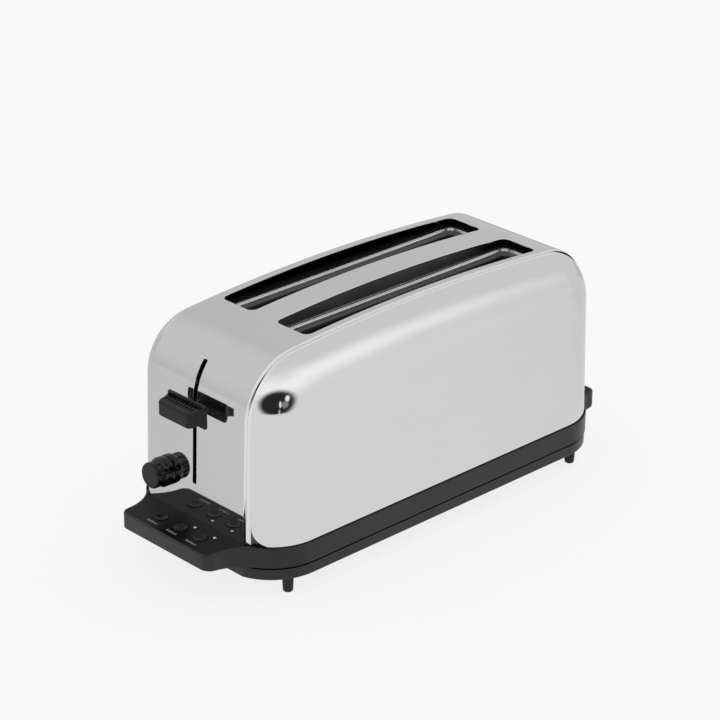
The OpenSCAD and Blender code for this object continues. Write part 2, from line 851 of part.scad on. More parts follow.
// Browning control, with a hollow nose through the panel for the spindle
module potentiometer() {
  nose = pot_h + sheet + 2 * fit;
  color(steel) on_front_panel(knob_y, knob_z) translate([0, 0, -sheet - fit - pot_h]) difference() {
    union() {
      cylinder(d = pot_d, h = pot_h);
      cylinder(d = pot_nose_d, h = nose);
    }
    translate([0, 0, pot_h - spindle_in]) cylinder(d = spindle_d + 2 * shaft_fit, h = nose);
  }
}

// Mains switch block that the carriage closes
module contact_block() {
  space = half_len + rod_x;
  block_l = 0.5 * space;
  block_w = 9;
  block_h = 18;
  leaf_t = 0.5;
  leaf_l = 0.4 * space;
  color(black) translate([0.25 * space - half_len, -rod_pitch / 2 - 12, base_z]) {
    cube([block_l, block_w, block_h]);
    for (k = [0, 1]) translate([block_l / 2, 2 + 4 * k, block_h - 4 - 3 * k]) cube([leaf_l, 2, leaf_t]);
  }
}

// Board with the three keys under the buttons
module button_board() {
  color(circuit) {
    translate([button_x - board_d / 2, button_y - board_w / 2, board_z]) cube([board_d, board_w, board_t]);
    for (k = [-1, 0, 1])
      translate([button_x - key_w / 2, button_y + k * button_pitch - key_w / 2, board_z + board_t / 2])
        cube([key_w, key_w, key_h + board_t / 2]);
  }
}

// Two clear indicator lenses in the ledge
module indicator_lenses() {
  lens_proud = 0.2;
  lens_rim = 1;
  color([0.9, 0.9, 0.9]) for (k = [-1, 0])
    translate([button_x + lens_dx, button_y + k * button_pitch - lens_dy, roof_z - lens_rim]) {
      cylinder(d = lens_d + 2 * lens_rim, h = lens_rim);
      cylinder(d = lens_d, h = lens_rim + base_wall + lens_proud);
    }
}

// Bush in the rear end panel where a cord would enter
gland_y = wrap_w / 2 - 18;
gland_z = 14;
gland_d = 12;
gland_bore = 7;

module cord_gland() {
  lip = 2;
  color(black) on_rear_panel(gland_y, gland_z) difference() {
    union() {
      translate([0, 0, fit]) cylinder(d = gland_d + 2 * lip, h = 1.5 * lip - fit);
      translate([0, 0, -4 * lip]) cylinder(d = gland_d - fit, h = 5 * lip);
    }
    translate([0, 0, -5 * lip]) cylinder(d = gland_bore, h = 10 * lip);
  }
}

// One pan head screw that stands head down at the origin, with its shank up
module screw(length) {
  cylinder(d = screw_head_d, h = screw_head_h);
  cylinder(d = screw_d, h = screw_head_h + length);
}

// Six screws that join the two base mouldings
module base_screws() {
  color(steel) for (x = [-1, 0, 1], y = [-1, 1])
    translate([x * boss_x, y * boss_y, lower_z + base_wall / 2 - screw_head_h])
      screw(base_wall / 2 + screw_grip);
}

// Four screws that hold the bulkheads on the upper base
module bulkhead_screws() {
  color(steel) wall_screw_places() translate([0, 0, sheet + screw_head_h]) rotate([180, 0, 0])
    screw(sheet + base_wall);
}

// Plate that joins the lever, the lifters and the bushes
module carriage_plate() {
  tab_w = 9;
  tab_l = rod_out + spring_d / 2;
  color(steel) {
    translate([plate_front, -carriage_w / 2, carriage_low])
      cube([carriage_t, carriage_w, carriage_top - carriage_low]);
    translate([plate_front - tab_l, spring_y - tab_w / 2, carriage_low])
      cube([tab_l + carriage_t, tab_w, spring_tab_t]);
  }
}

// Two bushes that slide on the guide rods
module carriage_bushes() {
  bush_d = rod_d + 4;
  bush_h = 20;
  low = (carriage_low + carriage_top - bush_h) / 2;
  color(black) for (side = [-1, 1]) translate([rod_x, side * rod_pitch / 2, low]) difference() {
    union() {
      cylinder(d = bush_d, h = bush_h);
      translate([0, -bush_d / 2, 0]) cube([rod_out, bush_d, bush_h]);
    }
    translate([0, 0, -past]) cylinder(d = rod_d + 2 * shaft_fit, h = bush_h + 2 * past);
  }
}

// Flat arm from the carriage through the lever slot
handle_back = -(half_len - lever_z * lean_tan + handle_off);
arm_grip = 9;

module lever_arm() {
  foot_w = 9;
  foot_h2 = 2 * arm_h;
  color(steel) {
    translate([handle_back - arm_grip, lever_y - arm_t / 2, arm_z - arm_h / 2])
      cube([plate_front - handle_back + arm_grip, arm_t, arm_h]);
    translate([plate_front - carriage_t, lever_y - foot_w / 2, arm_z - arm_h / 2 - foot_h2])
      cube([carriage_t, foot_w, foot_h2 + arm_h]);
  }
}

// Heights of the back plate and the thumb block beside the arm
plate_low = -0.46 * handle_plate_h;
block_low = 0.6 - handle_block_h / 2;
block_top = 0.6 + handle_block_h / 2;

// Side shape of the thumb block: x is outwards from the back plate, y is up
module block_side() {
  flare = block_low - plate_low - 0.2;
  soft_low = 1.2;
  soft_top = 1.6;
  crest_x = 3.2;
  crest = 1.6;
  channel_x = 2.3;
  difference() {
    polygon([
      [0, block_low - flare], [flare, block_low - flare], [flare, block_low],
      [handle_block_d - soft_low, block_low], [handle_block_d, block_low + soft_low],
      [handle_block_d, block_top - soft_top], [handle_block_d - soft_top, block_top],
      [crest_x, block_top + crest], [channel_x, block_top], [0, block_top]
    ]);
    translate([flare, block_low - flare]) circle(flare - thicker);
  }
}

// Plan of the thumb block: round front corners, and sides that flare out to the ends of the back plate
module block_plan() {
  half = handle_block_w / 2;
  flare = max(0.5, handle_plate_w / 2 - half - thicker);
  round_r = 3.5;
  translate([0, -half]) square([handle_block_d - round_r, handle_block_w]);
  translate([0, round_r - half]) square([handle_block_d, handle_block_w - 2 * round_r]);
  for (side = [-1, 1]) scale([1, side]) {
    translate([handle_block_d - round_r, half - round_r]) circle(round_r);
    difference() {
      translate([0, half - past]) square([flare, flare + past]);
      translate([flare, half + flare]) circle(flare - thicker);
    }
  }
}

// Black lever handle: wide back plate and a grooved thumb block
module lever_handle() {
  groove_w = 1.2;
  groove_l = 8;
  groove_pitch = (handle_block_w - 5) / handle_grooves;
  groove_first = -(handle_grooves - 1) / 2 * groove_pitch - groove_w / 2;
  sunk = 0.2;
  color(black) translate([handle_back, lever_y, arm_z]) difference() {
    translate([-handle_plate_t, handle_side, 0]) difference() {
      union() {
        translate([0, -handle_plate_w / 2, plate_low]) cube([handle_plate_t, handle_plate_w, handle_plate_h]);
        translate([sunk, 0, 0]) intersection() {
          rotate([90, 0, 180]) translate([0, 0, -handle_plate_w])
            linear_extrude(2 * handle_plate_w) block_side();
          mirror([1, 0, 0]) translate([0, 0, plate_low - past])
            linear_extrude(handle_plate_h + 2 * past) block_plan();
        }
      }
      for (k = [0:handle_grooves - 1])
        translate([-groove_l - past, groove_first + k * groove_pitch, block_top + 0.4])
          cube([groove_l, groove_w, handle_plate_h]);
    }
    translate([-arm_grip - fit, -arm_t / 2 - fit / 2, -arm_h / 2 - fit / 2])
      cube([arm_grip + fit + past, arm_t + fit, arm_h + fit]);
  }
}

// Plate that the magnet holds when the carriage is down
module armature() {
  plate_t = 2;
  low = base_z + magnet_h + run + lever_down;
  color(steel) translate([rod_x - magnet_d / 2 - 1, magnet_y - magnet_w / 2 - 1, low])
    cube([plate_front - rod_x + magnet_d / 2 + 1, magnet_w + 2, plate_t]);
}

// Bread lifter: an upright spine with fingers to both sides
module bread_lifter(side) {
  tip = sheet + 3;
  finger_l = 5;
  pitch = slot_len / lifter_fingers;
  color(steel) translate([0, side_y(side), lifter_z]) {
    translate([carriage_x, -lifter_t / 2, 0]) cube([rear_wall + tip - carriage_x, lifter_t, lifter_h]);
    for (k = [0:lifter_fingers - 1])
      translate([slot_front + (k + 0.5) * pitch - finger_l / 2, -lifter_w / 2, lifter_h - lifter_t])
        cube([finger_l, lifter_w, lifter_t]);
  }
}

module bread_lifter_near() {
  bread_lifter(-1);
}

module bread_lifter_far() {
  bread_lifter(1);
}

// Fluted browning knob with a skirt
module browning_knob() {
  foot = 0.3;
  flute_r = 1.6;
  flute_low = foot + knob_skirt_h + 0.6;
  face_t = 2.2;
  bore_h = knob_reach - 4;
  color(black) on_front_panel(knob_y, knob_z) difference() {
    union() {
      translate([0, 0, foot]) cylinder(d = knob_skirt_d, h = knob_skirt_h);
      translate([0, 0, foot]) cylinder(d = knob_d, h = knob_reach - foot);
    }
    for (k = [0:knob_flutes - 1]) rotate(360 * k / knob_flutes)
      translate([knob_d / 2 + flute_r * 0.45, 0, flute_low])
        cylinder(r = flute_r, h = knob_reach - face_t - flute_low);
    translate([0, 0, foot - past]) cylinder(d = spindle_d + shaft_fit, h = bore_h + past - foot);
  }
}

// Spindle of the knob, which turns in the nose of the browning control
module knob_spindle() {
  low = -sheet - fit - spindle_in + run;
  color(steel) on_front_panel(knob_y, knob_z) translate([0, 0, low])
    cylinder(d = spindle_d, h = knob_reach - 4 - low - run);
}

// Push button with a dished top and a rim under the ledge
module push_button(k) {
  dish_r = 8.8;
  dish_deep = 1.3;
  color(black) translate([button_x, button_y + k * button_pitch, 0]) difference() {
    union() {
      translate([0, 0, button_low]) cylinder(d = button_d + 2 * run + 2 * button_rim, h = button_rim_t);
      translate([0, 0, button_low]) cylinder(d = button_d, h = button_top - button_low);
    }
    translate([0, 0, button_top + dish_r - dish_deep]) sphere(dish_r);
  }
}

module button_far() {
  push_button(1);
}

module button_middle() {
  push_button(0);
}

module button_near() {
  push_button(-1);
}

// Crumb tray that slides out at the rear, with a pull under the rear ledge
module crumb_tray() {
  low = floor_z + run;
  front = front_wall;
  rear = base_front - lower_step;
  color(steel) {
    difference() {
      translate([front, -tray_w / 2, low]) cube([rear - front, tray_w, tray_h]);
      translate([front + tray_t, -tray_w / 2 + tray_t, low + tray_t])
        cube([rear - front - 3 * tray_t, tray_w - 2 * tray_t, tray_h]);
    }
    translate([rear - tray_t, -tray_w / 4, low]) cube([pull_reach + tray_t, tray_w / 2, 1.5 * tray_t]);
  }
}

upper_base();
lower_base();
feet();
front_ledge_cover();
rear_ledge_cover();
outer_wrap();
side_panel_near();
side_panel_far();
slot_deck();
front_bulkhead();
rear_bulkhead();
rod_bracket();
guide_rods();
lift_spring();
mica_board_near();
mica_board_centre();
mica_board_far();
heater_ribbon_near();
heater_ribbon_centre();
heater_ribbon_far();
bread_guards_near();
bread_guards_far();
magnet_core();
magnet_coil();
control_board();
potentiometer();
contact_block();
button_board();
indicator_lenses();
cord_gland();
base_screws();
bulkhead_screws();
carriage_plate();
carriage_bushes();
lever_arm();
lever_handle();
armature();
bread_lifter_near();
bread_lifter_far();
browning_knob();
knob_spindle();
button_far();
button_middle();
button_near();
crumb_tray();
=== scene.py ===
"""Looks of a long slot toaster: steel shell, black base and controls, studio and camera.

Lengths in the shapes are millimetres in the frame of the solids; MM turns them into metres.
"""
import math

import bmesh
import bpy
from mathutils import Matrix, Vector
from mathutils.geometry import delaunay_2d_cdt


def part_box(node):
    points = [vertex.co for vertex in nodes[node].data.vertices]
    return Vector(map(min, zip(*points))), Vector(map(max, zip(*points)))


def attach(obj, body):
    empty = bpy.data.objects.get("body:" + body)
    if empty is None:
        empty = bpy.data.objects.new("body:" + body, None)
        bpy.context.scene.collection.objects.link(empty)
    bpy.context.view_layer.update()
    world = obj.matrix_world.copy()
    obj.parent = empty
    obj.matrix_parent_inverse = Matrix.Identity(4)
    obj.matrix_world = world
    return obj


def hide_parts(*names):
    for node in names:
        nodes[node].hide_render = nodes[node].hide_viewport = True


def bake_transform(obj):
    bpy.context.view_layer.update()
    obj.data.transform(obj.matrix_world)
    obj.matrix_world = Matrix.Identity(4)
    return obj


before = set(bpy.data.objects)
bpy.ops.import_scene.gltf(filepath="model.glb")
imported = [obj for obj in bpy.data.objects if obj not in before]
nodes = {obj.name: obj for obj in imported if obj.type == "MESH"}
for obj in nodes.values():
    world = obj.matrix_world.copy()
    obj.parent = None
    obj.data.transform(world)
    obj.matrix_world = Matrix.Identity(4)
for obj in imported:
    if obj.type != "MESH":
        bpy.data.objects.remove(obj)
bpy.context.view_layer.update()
scene = bpy.context.scene
MM = 0.001
QUARTER = math.pi / 2

# Sizes in mm, as in the solids but for the corner radii, the lever slot's width and the parting gap
BASE_Z = 40.0
HALF_LEN = 172.5
HALF_W = 78.0
STRIP_HALF = 52.0
LEAN = math.radians(2.0)
CROWN_Z = 181.0
ARCH_R = 1500.0
FRONT_R = 46.5
REAR_R = 40.5
ROLL_R = 42.0
ROLL_Y = HALF_W - ROLL_R
SHEET = 0.8
PANEL_DROP = 1.0
PANEL_CORNER = 14.0
PANEL_FLANGE = 3.5
DECK_Z = 168.5
DECK_LIP = 8.0
DECK_INSET = 1.5
SLOT_MID = 9.0
SLOT_LEN = 232.0
SLOT_W = 33.0
SLOT_Y = 28.5
SLOT_CORNER = 5.5
WALL_FRONT = -125.0
WALL_REAR = 135.0
OPENING_EDGE = 6.0
KNOB_Y = 33.3
KNOB_UP = 26.5
BUTTON_X = -188.0
BUTTON_Y = -1.2
BUTTON_PITCH = 21.0
BUTTON_TOP = 40.5
LENS_DX = 7.5
LENS_DY = 7.1
LEVER_Y = 2.2
LEVER_UP = 88.0
LEVER_SLOT_LOW = 67.5
LEVER_SLOT_HIGH = 159.5
LEVER_SLOT_W = 4.0
LEVER_SLOT_CORNER = 0.9
KNOB_HOLE_R = 4.0
GLAND_Y = 34.0
GLAND_UP = 14.0
GLAND_HOLE_R = 6.0
BUTTON_HOLE_R = 5.75
LENS_HOLE_R = 1.45
FRONT_LEDGE = 31.0
FRONT_LEDGE_HALF = 47.5
FRONT_SWEEP = 35.0
REAR_LEDGE = 22.0
REAR_LEDGE_HALF = 49.5
REAR_SWEEP = 20.0
LEDGE_CORNER = 7.0
UPPER_Z = 24.0
BASE_WALL = 2.5
BASE_OVER = 1.3
LEDGE_TIP_Z = 28.0
PARTING_GAP = 1.6

# Side outline of the shell, from its crown, end lean and corner radii
ARCH_Z = CROWN_Z - ARCH_R
LEAN_TAN = math.tan(LEAN)


class Bend:
    """Bend of radius r between a leaning end and the arch: its centre, end angle and lengths."""

    def __init__(self, r):
        a = HALF_LEN - r / math.cos(LEAN)
        b = BASE_Z - ARCH_Z
        k = 1 + LEAN_TAN * LEAN_TAN
        p = a * LEAN_TAN - b
        q = a * a + b * b - (ARCH_R - r) ** 2
        up = (p + math.sqrt(p * p - k * q)) / k
        self.r = r
        self.x = a - up * LEAN_TAN
        self.z = BASE_Z + up
        self.end = math.atan2(self.z - ARCH_Z, self.x)
        self.leg = (up + r * math.sin(LEAN)) / math.cos(LEAN)
        self.length = r * (self.end - LEAN)

    def at(self, s):
        """Point and outward normal of the lever end's leg and bend, s mm from its foot."""
        if s < self.leg:
            x, z = s * math.sin(LEAN) - HALF_LEN, BASE_Z + s * math.cos(LEAN)
            return x, z, -math.cos(LEAN), math.sin(LEAN)
        a = LEAN + (s - self.leg) / self.r
        return -self.x - self.r * math.cos(a), self.z + self.r * math.sin(a), -math.cos(a), math.sin(a)


FRONT = Bend(FRONT_R)
REAR = Bend(REAR_R)
ARCH_START = FRONT.leg + FRONT.length
ARCH_LEN = ARCH_R * (math.pi - FRONT.end - REAR.end)
ARCH_END = ARCH_START + ARCH_LEN
SHELL_LEN = ARCH_END + REAR.length + REAR.leg
ROLL_START = math.asin((STRIP_HALF - ROLL_Y) / ROLL_R)
ROLL_INSET = PANEL_DROP + ROLL_R * math.cos(ROLL_START)
BASE_R = ROLL_R + BASE_OVER
BASE_CORNER_X = HALF_LEN - ROLL_INSET
BASE_FRONT = HALF_LEN + BASE_OVER


def shell_at(s):
    """Point and outward normal (x, z, nx, nz) of the shell's outer face, s mm from its foot."""
    if s < ARCH_START:
        return FRONT.at(s)
    if s > ARCH_END:
        x, z, nx, nz = REAR.at(SHELL_LEN - s)
        return -x, z, -nx, nz
    a = FRONT.end + (s - ARCH_START) / ARCH_R
    return -ARCH_R * math.cos(a), ARCH_Z + ARCH_R * math.sin(a), -math.cos(a), math.sin(a)


def along_top(x):
    """Distance along the shell of the point of the arch at x."""
    return ARCH_START + ARCH_R * (math.acos(-x / ARCH_R) - FRONT.end)


def up_front(z):
    """Distance along the shell of the point of the lever end at height z."""
    if z < BASE_Z + FRONT.leg * math.cos(LEAN):
        return (z - BASE_Z) / math.cos(LEAN)
    return FRONT.leg + FRONT.r * (math.asin((z - FRONT.z) / FRONT.r) - LEAN)


# Mesh helpers

class Shape:
    """Vertices with their own normals, and faces, gathered for one piece."""

    def __init__(self):
        self.points = []
        self.normals = []
        self.faces = []
        self.slots = []

    def add(self, point, normal=(0, 0, 1)):
        self.points.append(Vector(point))
        self.normals.append(Vector(normal).normalized())
        return len(self.points) - 1

    def face(self, indices, slot=0):
        self.faces.append(tuple(indices))
        self.slots.append(slot)

    def tube(self, rows, slot=0):
        """Quads between closed rows of vertex indices, and a face over each end."""
        for a, b in zip(rows, rows[1:]):
            for k in range(len(a)):
                m = (k + 1) % len(a)
                self.face((a[k], a[m], b[m], b[k]), slot)
        self.face(rows[-1], slot)
        self.face(list(reversed(rows[0])), slot)

    def piece(self, name, materials):
        """Piece with the normals that its vertices were given."""
        mesh = self.mesh(name)
        self.coat(mesh, materials)
        mesh.normals_split_custom_set_from_vertices(self.normals)
        return link(name, mesh)

    def mesh(self, name):
        mesh = bpy.data.meshes.new(name)
        mesh.from_pydata([p * MM for p in self.points], [], self.faces)
        return mesh

    def coat(self, mesh, materials):
        for material in materials:
            mesh.materials.append(material)
        for polygon, slot in zip(mesh.polygons, self.slots):
            polygon.use_smooth = True
            polygon.material_index = slot


def link(name, mesh):
    piece = bpy.data.objects.new(name, mesh)
    scene.collection.objects.link(piece)
    return piece


def arc(cx, cy, r, start, end, steps):
    """Points on an arc, with angles in degrees, both ends included."""
    points = []
    for k in range(steps + 1):
        a = math.radians(start + (end - start) * k / steps)
        points.append((cx + r * math.cos(a), cy + r * math.sin(a)))
    return points


def round_box(cx, cy, length, width, r, steps=8):
    """Rounded rectangle as a counter-clockwise loop of points."""
    x, y = length / 2 - r, width / 2 - r
    loop = []
    loop += arc(cx + x, cy + y, r, 0, 90, steps)
    loop += arc(cx - x, cy + y, r, 90, 180, steps)
    loop += arc(cx - x, cy - y, r, 180, 270, steps)
    loop += arc(cx + x, cy - y, r, 270, 360, steps)
    return loop


def ring_points(cx, cy, r, steps=32):
    return arc(cx, cy, r, 0, 360 - 360 / steps, steps - 1)


def rounded_edge(r, thick, steps=4):
    """Section of a sheet's edge from its outer face to its inner one: (outwards, depth, normal's angle)."""
    section = []
    for k in range(1, steps + 1):
        a = QUARTER * k / steps
        section.append((r * math.sin(a), r * (1 - math.cos(a)), a))
    section.append((r, thick, QUARTER))
    section.append((r, thick, math.pi))
    return section


def bead_edge(wide, thick, steps=6):
    """Section of a sheet's edge that is dressed round over a wide border."""
    section = []
    for k in range(1, steps + 1):
        a = QUARTER * k / steps
        tilt = math.atan2(thick * math.sin(a), wide * math.cos(a))
        section.append((wide * math.sin(a), thick * (1 - math.cos(a)), tilt))
    section.append((wide, thick, math.pi))
    return section


def lip_edge(flat, r, bright, deep, thick, steps=6):
    """Section of a hole's edge that turns down into a lip: bright at the rim, then grey down to the depth
    bright as painted light, then dark as painted shade.
    """
    section = [(flat, 0, 0, 1)]
    for k in range(1, steps + 1):
        a = QUARTER * k / steps
        section.append((flat + r * math.sin(a), r * (1 - math.cos(a)), a, 1))
    out = flat + r
    back = out - thick
    section += [(out, bright, QUARTER, 2), (out, bright, QUARTER, 0), (out, deep, QUARTER, 0)]
    section += [(out, deep, math.pi, 0), (back, deep, math.pi, 0), (back, deep, 3 * QUARTER, 0)]
    section += [(back, thick, 3 * QUARTER, 0), (back, thick, math.pi, 0)]
    return section


def upward(u, v):
    """Normal of a sheet that lies flat."""
    return Vector((0, 0, 1))


def sheet(shape, outline, holes, lines, place, facing, thick, edge, hole_edge,
          edge_slot=lambda u, v: 0, hole_slot=lambda u, v: 0, shrink_u=1.0):
    """Sheet of metal over a flat pattern, bent by place(u, v, depth), with finished edges and holes.

    The pattern's outline and holes are drawn where the flat face ends and the edge's section begins.
    edge_slot(u, v) and hole_slot(u, v) give the finish of the outline's edge and of a hole's edge, and
    shrink_u makes the outline's own edge narrower along u. A fourth value in a section is the finish of
    the face that leads to that point, or gives it by place.
    """
    points = []
    loops = []
    for loop in [outline] + holes:
        loops.append([len(points) + k for k in range(len(loop))])
        points += [Vector(p) for p in loop]
    edges = []
    for start, end in lines:
        edges.append((len(points), len(points) + 1))
        points += [Vector(start), Vector(end)]
    flat, _, faces, _, _, source = delaunay_2d_cdt(points, edges, loops, 1, 1e-5)
    kept = [f for f, ids in zip(faces, source) if 0 in ids and max(ids) == 0]
    used = sorted({i for f in kept for i in f})
    outer, inner = {}, {}
    for i in used:
        u, v = flat[i]
        normal = facing(u, v)
        outer[i] = shape.add(place(u, v, 0), normal)
        inner[i] = shape.add(place(u, v, thick), -normal)
    follow = {}
    for f in kept:
        shape.face([outer[i] for i in f])
        shape.face([inner[i] for i in reversed(f)])
        for a, b in zip(f, f[1:] + f[:1]):
            follow[(a, b)] = True
    border = {a: b for a, b in follow if (b, a) not in follow}
    while border:
        loop = [next(iter(border))]
        while border.get(loop[-1]) is not None:
            nxt = border.pop(loop[-1])
            if nxt == loop[0]:
                break
            loop.append(nxt)
        pairs = zip(loop, loop[1:] + loop[:1])
        area = sum(flat[a][0] * flat[b][1] - flat[b][0] * flat[a][1] for a, b in pairs)
        section = edge if area > 0 else hole_edge
        slot_at = edge_slot if area > 0 else hole_slot
        along = shrink_u if area > 0 else 1.0
        rings = [[outer[i] for i in loop]]
        outs = []
        for k, i in enumerate(loop):
            before, here, after = flat[loop[k - 1]], flat[i], flat[loop[(k + 1) % len(loop)]]
            first = (here - before).normalized()
            second = (after - here).normalized()
            out = Vector((first.y + second.y, -first.x - second.x)).normalized()
            outs.append(out / max(0.5, out.dot(Vector((first.y, -first.x)))))
        kinds = []
        for o, depth, angle, *kind in section:
            kinds.append(kind[0] if kind else None)
            ring = []
            for i, out in zip(loop, outs):
                u, v = flat[i]
                normal = facing(u, v)
                point = Vector(place(u + out.x * o * along, v + out.y * o, depth))
                tip = Vector(place(u + out.x * (o * along + 0.1), v + out.y * (o + 0.1), depth))
                side = (tip - point).normalized()
                ring.append(shape.add(point, normal * math.cos(angle) + side * math.sin(angle)))
            rings.append(ring)
        rings.append([inner[i] for i in loop])
        kinds.append(kinds[-1])
        for a, b, kind in zip(rings, rings[1:], kinds):
            for k in range(len(loop)):
                m = (k + 1) % len(loop)
                finish = kind
                if kind is None:
                    finish = slot_at(*flat[loop[k]])
                elif callable(kind):
                    finish = kind(*flat[loop[k]])
                shape.face((a[m], a[k], b[k], b[m]), finish)


def lathe(shape, profile, steps, place, swell=None, slot=0):
    """Turned piece: profile of (radius, height, normal's angle from the axis), placed by place(x, y, z)."""
    rows = []
    for r, z, angle in profile:
        row = []
        for k in range(steps):
            a = 2 * math.pi * k / steps
            rr = r if swell is None else swell(r, z, a)
            here = place(rr * math.cos(a), rr * math.sin(a), z)
            tip = place(rr * math.cos(a) + math.cos(a) * math.sin(angle),
                        rr * math.sin(a) + math.sin(a) * math.sin(angle), z + math.cos(angle))
            row.append(shape.add(here, tip - here))
        rows.append(row)
    shape.tube(rows, slot)


def softened(node, width, segments, chosen=None):
    """Copy of a solid's mesh with its convex edges rounded; chosen(middle in mm) picks the edges."""
    work = bmesh.new()
    work.from_mesh(nodes[node].data)
    bmesh.ops.remove_doubles(work, verts=work.verts, dist=2e-6)
    bmesh.ops.dissolve_limit(work, angle_limit=math.radians(0.6), verts=work.verts, edges=work.edges)
    limit = math.radians(30)
    picked = []
    for e in work.edges:
        sharp = len(e.link_faces) == 2 and e.calc_face_angle(0) > limit
        if sharp and e.is_convex:
            middle = (e.verts[0].co + e.verts[1].co) / 2 / MM
            if chosen is None or chosen(middle):
                picked.append(e)
    bmesh.ops.bevel(work, geom=picked, offset=width * MM, offset_type="OFFSET", segments=segments,
                    profile=0.5, affect="EDGES", clamp_overlap=chosen is None, harden_normals=False)
    mesh = bpy.data.meshes.new(node + "_soft")
    work.to_mesh(mesh)
    work.free()
    mesh.materials.clear()
    for polygon in mesh.polygons:
        polygon.use_smooth = True
        polygon.material_index = 0
    mesh.set_sharp_from_angle(angle=limit)
    piece = link(node + "_soft", mesh)
    keep_flat = piece.modifiers.new("keep flat faces flat", "WEIGHTED_NORMAL")
    keep_flat.keep_sharp = True
    keep_flat.weight = 80
    return piece


# Material helpers

def grey(level):
    return level, level, level


class NodeTree:
    """Nodes of a material or of the world, and short ways to add to them."""

    def __init__(self, tree):
        self.tree = tree

    def feed(self, value, socket):
        """Links an output to a socket, or gives the socket a plain value."""
        if isinstance(value, bpy.types.NodeSocket):
            self.tree.links.new(value, socket)
        else:
            socket.default_value = value

    def make(self, kind, inputs=None, **settings):
        """Adds a node with its settings, and feeds its sockets."""
        node = self.tree.nodes.new("ShaderNode" + kind)
        for name, value in settings.items():
            setattr(node, name, value)
        for socket, value in (inputs or {}).items():
            self.feed(value, node.inputs[socket])
        return node

    def maths(self, operation, a, b):
        return self.make("Math", {0: a, 1: b}, operation=operation).outputs[0]

    def dot(self, vector, direction):
        return self.make("VectorMath", {0: vector, 1: direction}, operation="DOT_PRODUCT").outputs["Value"]

    def ramp(self, value, start, end, low=0.0, high=1.0, **settings):
        inputs = {"Value": value, "From Min": start, "From Max": end, "To Min": low, "To Max": high}
        return self.make("MapRange", inputs, **settings).outputs["Result"]

    def mix(self, share, a, b, blend_type="MIX"):
        """Mixes two colours, each an output or three plain values."""
        node = self.make("Mix", {"Factor": share}, data_type="RGBA", blend_type=blend_type)
        for socket, colour in (("A", a), ("B", b)):
            self.feed((*colour, 1) if isinstance(colour, tuple) else colour, node.inputs[socket])
        return node.outputs["Result"]


class Finish(NodeTree):
    """A material with a principled shader, and short ways to add textures."""

    def __init__(self, name):
        self.material = bpy.data.materials.new(name)
        self.material.use_nodes = True
        super().__init__(self.material.node_tree)
        self.shader = self.tree.nodes["Principled BSDF"]

    def set(self, **sockets):
        for name, value in sockets.items():
            self.feed(value, self.shader.inputs[name.replace("_", " ")])
        return self

    def coords(self, stretch=(1, 1, 1)):
        where = self.make("TexCoord").outputs["Object"]
        return self.make("Mapping", {"Vector": where, "Scale": stretch}).outputs["Vector"]

    def noise(self, size, detail=2.0, rough=0.5, stretch=(1, 1, 1)):
        inputs = {"Vector": self.coords(stretch), "Scale": size, "Detail": detail, "Roughness": rough}
        return self.make("TexNoise", inputs).outputs["Fac"]

    def cells(self, size):
        return self.make("TexVoronoi", {"Vector": self.coords(), "Scale": size}).outputs["Distance"]

    def waves(self, size, distortion=0.0):
        inputs = {"Vector": self.coords(), "Scale": size, "Distortion": distortion}
        return self.make("TexWave", inputs, bands_direction="Z").outputs["Fac"]

    def spread(self, value, low, high, start=0.3, end=0.7):
        return self.ramp(value, start, end, low, high)

    def between(self, value, dark, light, start=0.3, end=0.7):
        return self.mix(self.ramp(value, start, end), dark, light)

    def dress(self, colour, rough, grain, strength, height):
        """Feeds the shader, with grain as a bump whose height is in metres, and gives the material."""
        bump = self.make("Bump", {"Strength": strength, "Distance": height, "Height": grain})
        return self.set(Base_Color=colour, Roughness=rough, Normal=bump.outputs["Normal"]).material


# Heights of the finest relief, in metres
HAIR_DEPTH = 0.00002
GRAIN_DEPTH = 0.00006


def brushed_steel(name, dark, light, stretch, rough, bump, streak=0.0):
    """Steel with fine hairlines; streak is the share by which broader brush lines darken it."""
    finish = Finish(name).set(Metallic=1.0)
    hair = finish.noise(900, 3, 0.6, stretch)
    colour = finish.between(finish.noise(9), dark, light)
    if streak:
        lines = finish.noise(260, 4, 0.65, stretch)
        colour = finish.mix(1.0, colour, finish.spread(lines, 1 - streak, 1.0), "MULTIPLY")
    return finish.dress(colour, finish.spread(hair, *rough), hair, bump, HAIR_DEPTH)


def moulded_plastic(name, dark, light, rough, gloss, grain, bump):
    """Plastic with a fine grain and a faint cloud in its colour and roughness."""
    finish = Finish(name).set(Specular_IOR_Level=gloss)
    grains = finish.noise(grain, 2, 0.55)
    cloud = finish.noise(22, 3)
    colour = finish.between(cloud, dark, light)
    return finish.dress(colour, finish.spread(cloud, *rough), grains, bump, GRAIN_DEPTH)


wrap_steel = brushed_steel("wrap_steel", (0.640, 0.640, 0.637), (0.675, 0.675, 0.673), (1, 0.02, 1),
                           (0.03, 0.06), 0.05, 0.02)
panel_steel = brushed_steel("panel_steel", grey(0.80), grey(0.825), (0.03, 1, 1), (0.05, 0.085), 0.06, 0.02)
# Brighter steel laid on the seam lines and the near bread slot's edges: a painted highlight.
painted_highlight_steel = brushed_steel("painted_highlight_steel", grey(0.88), grey(0.92), (0.05, 1, 1), (0.10, 0.16), 0.05)
inner_steel = brushed_steel("inner_steel", grey(0.40), (0.52, 0.51, 0.50), (1, 1, 0.05), (0.22, 0.38), 0.10)
rim_steel = brushed_steel("rim_steel", grey(0.68), grey(0.72), (1, 1, 1), (0.28, 0.34), 0.01)
shade_steel = brushed_steel("shade_steel", grey(0.16), grey(0.22), (1, 1, 0.05), (0.40, 0.55), 0.05)
# Grey for the upper band of the deck's lip. It is lighter than the dark below because light falls in through
# the slot: painted light.
lip_painted_light = moulded_plastic("lip_painted_light", grey(0.21), grey(0.28), (0.35, 0.45), 0.5, 900, 0.1)
base_black = moulded_plastic("base_black", (0.011, 0.011, 0.0114), (0.016, 0.016, 0.0164),
                             (0.28, 0.36), 0.44, 2600, 0.30)
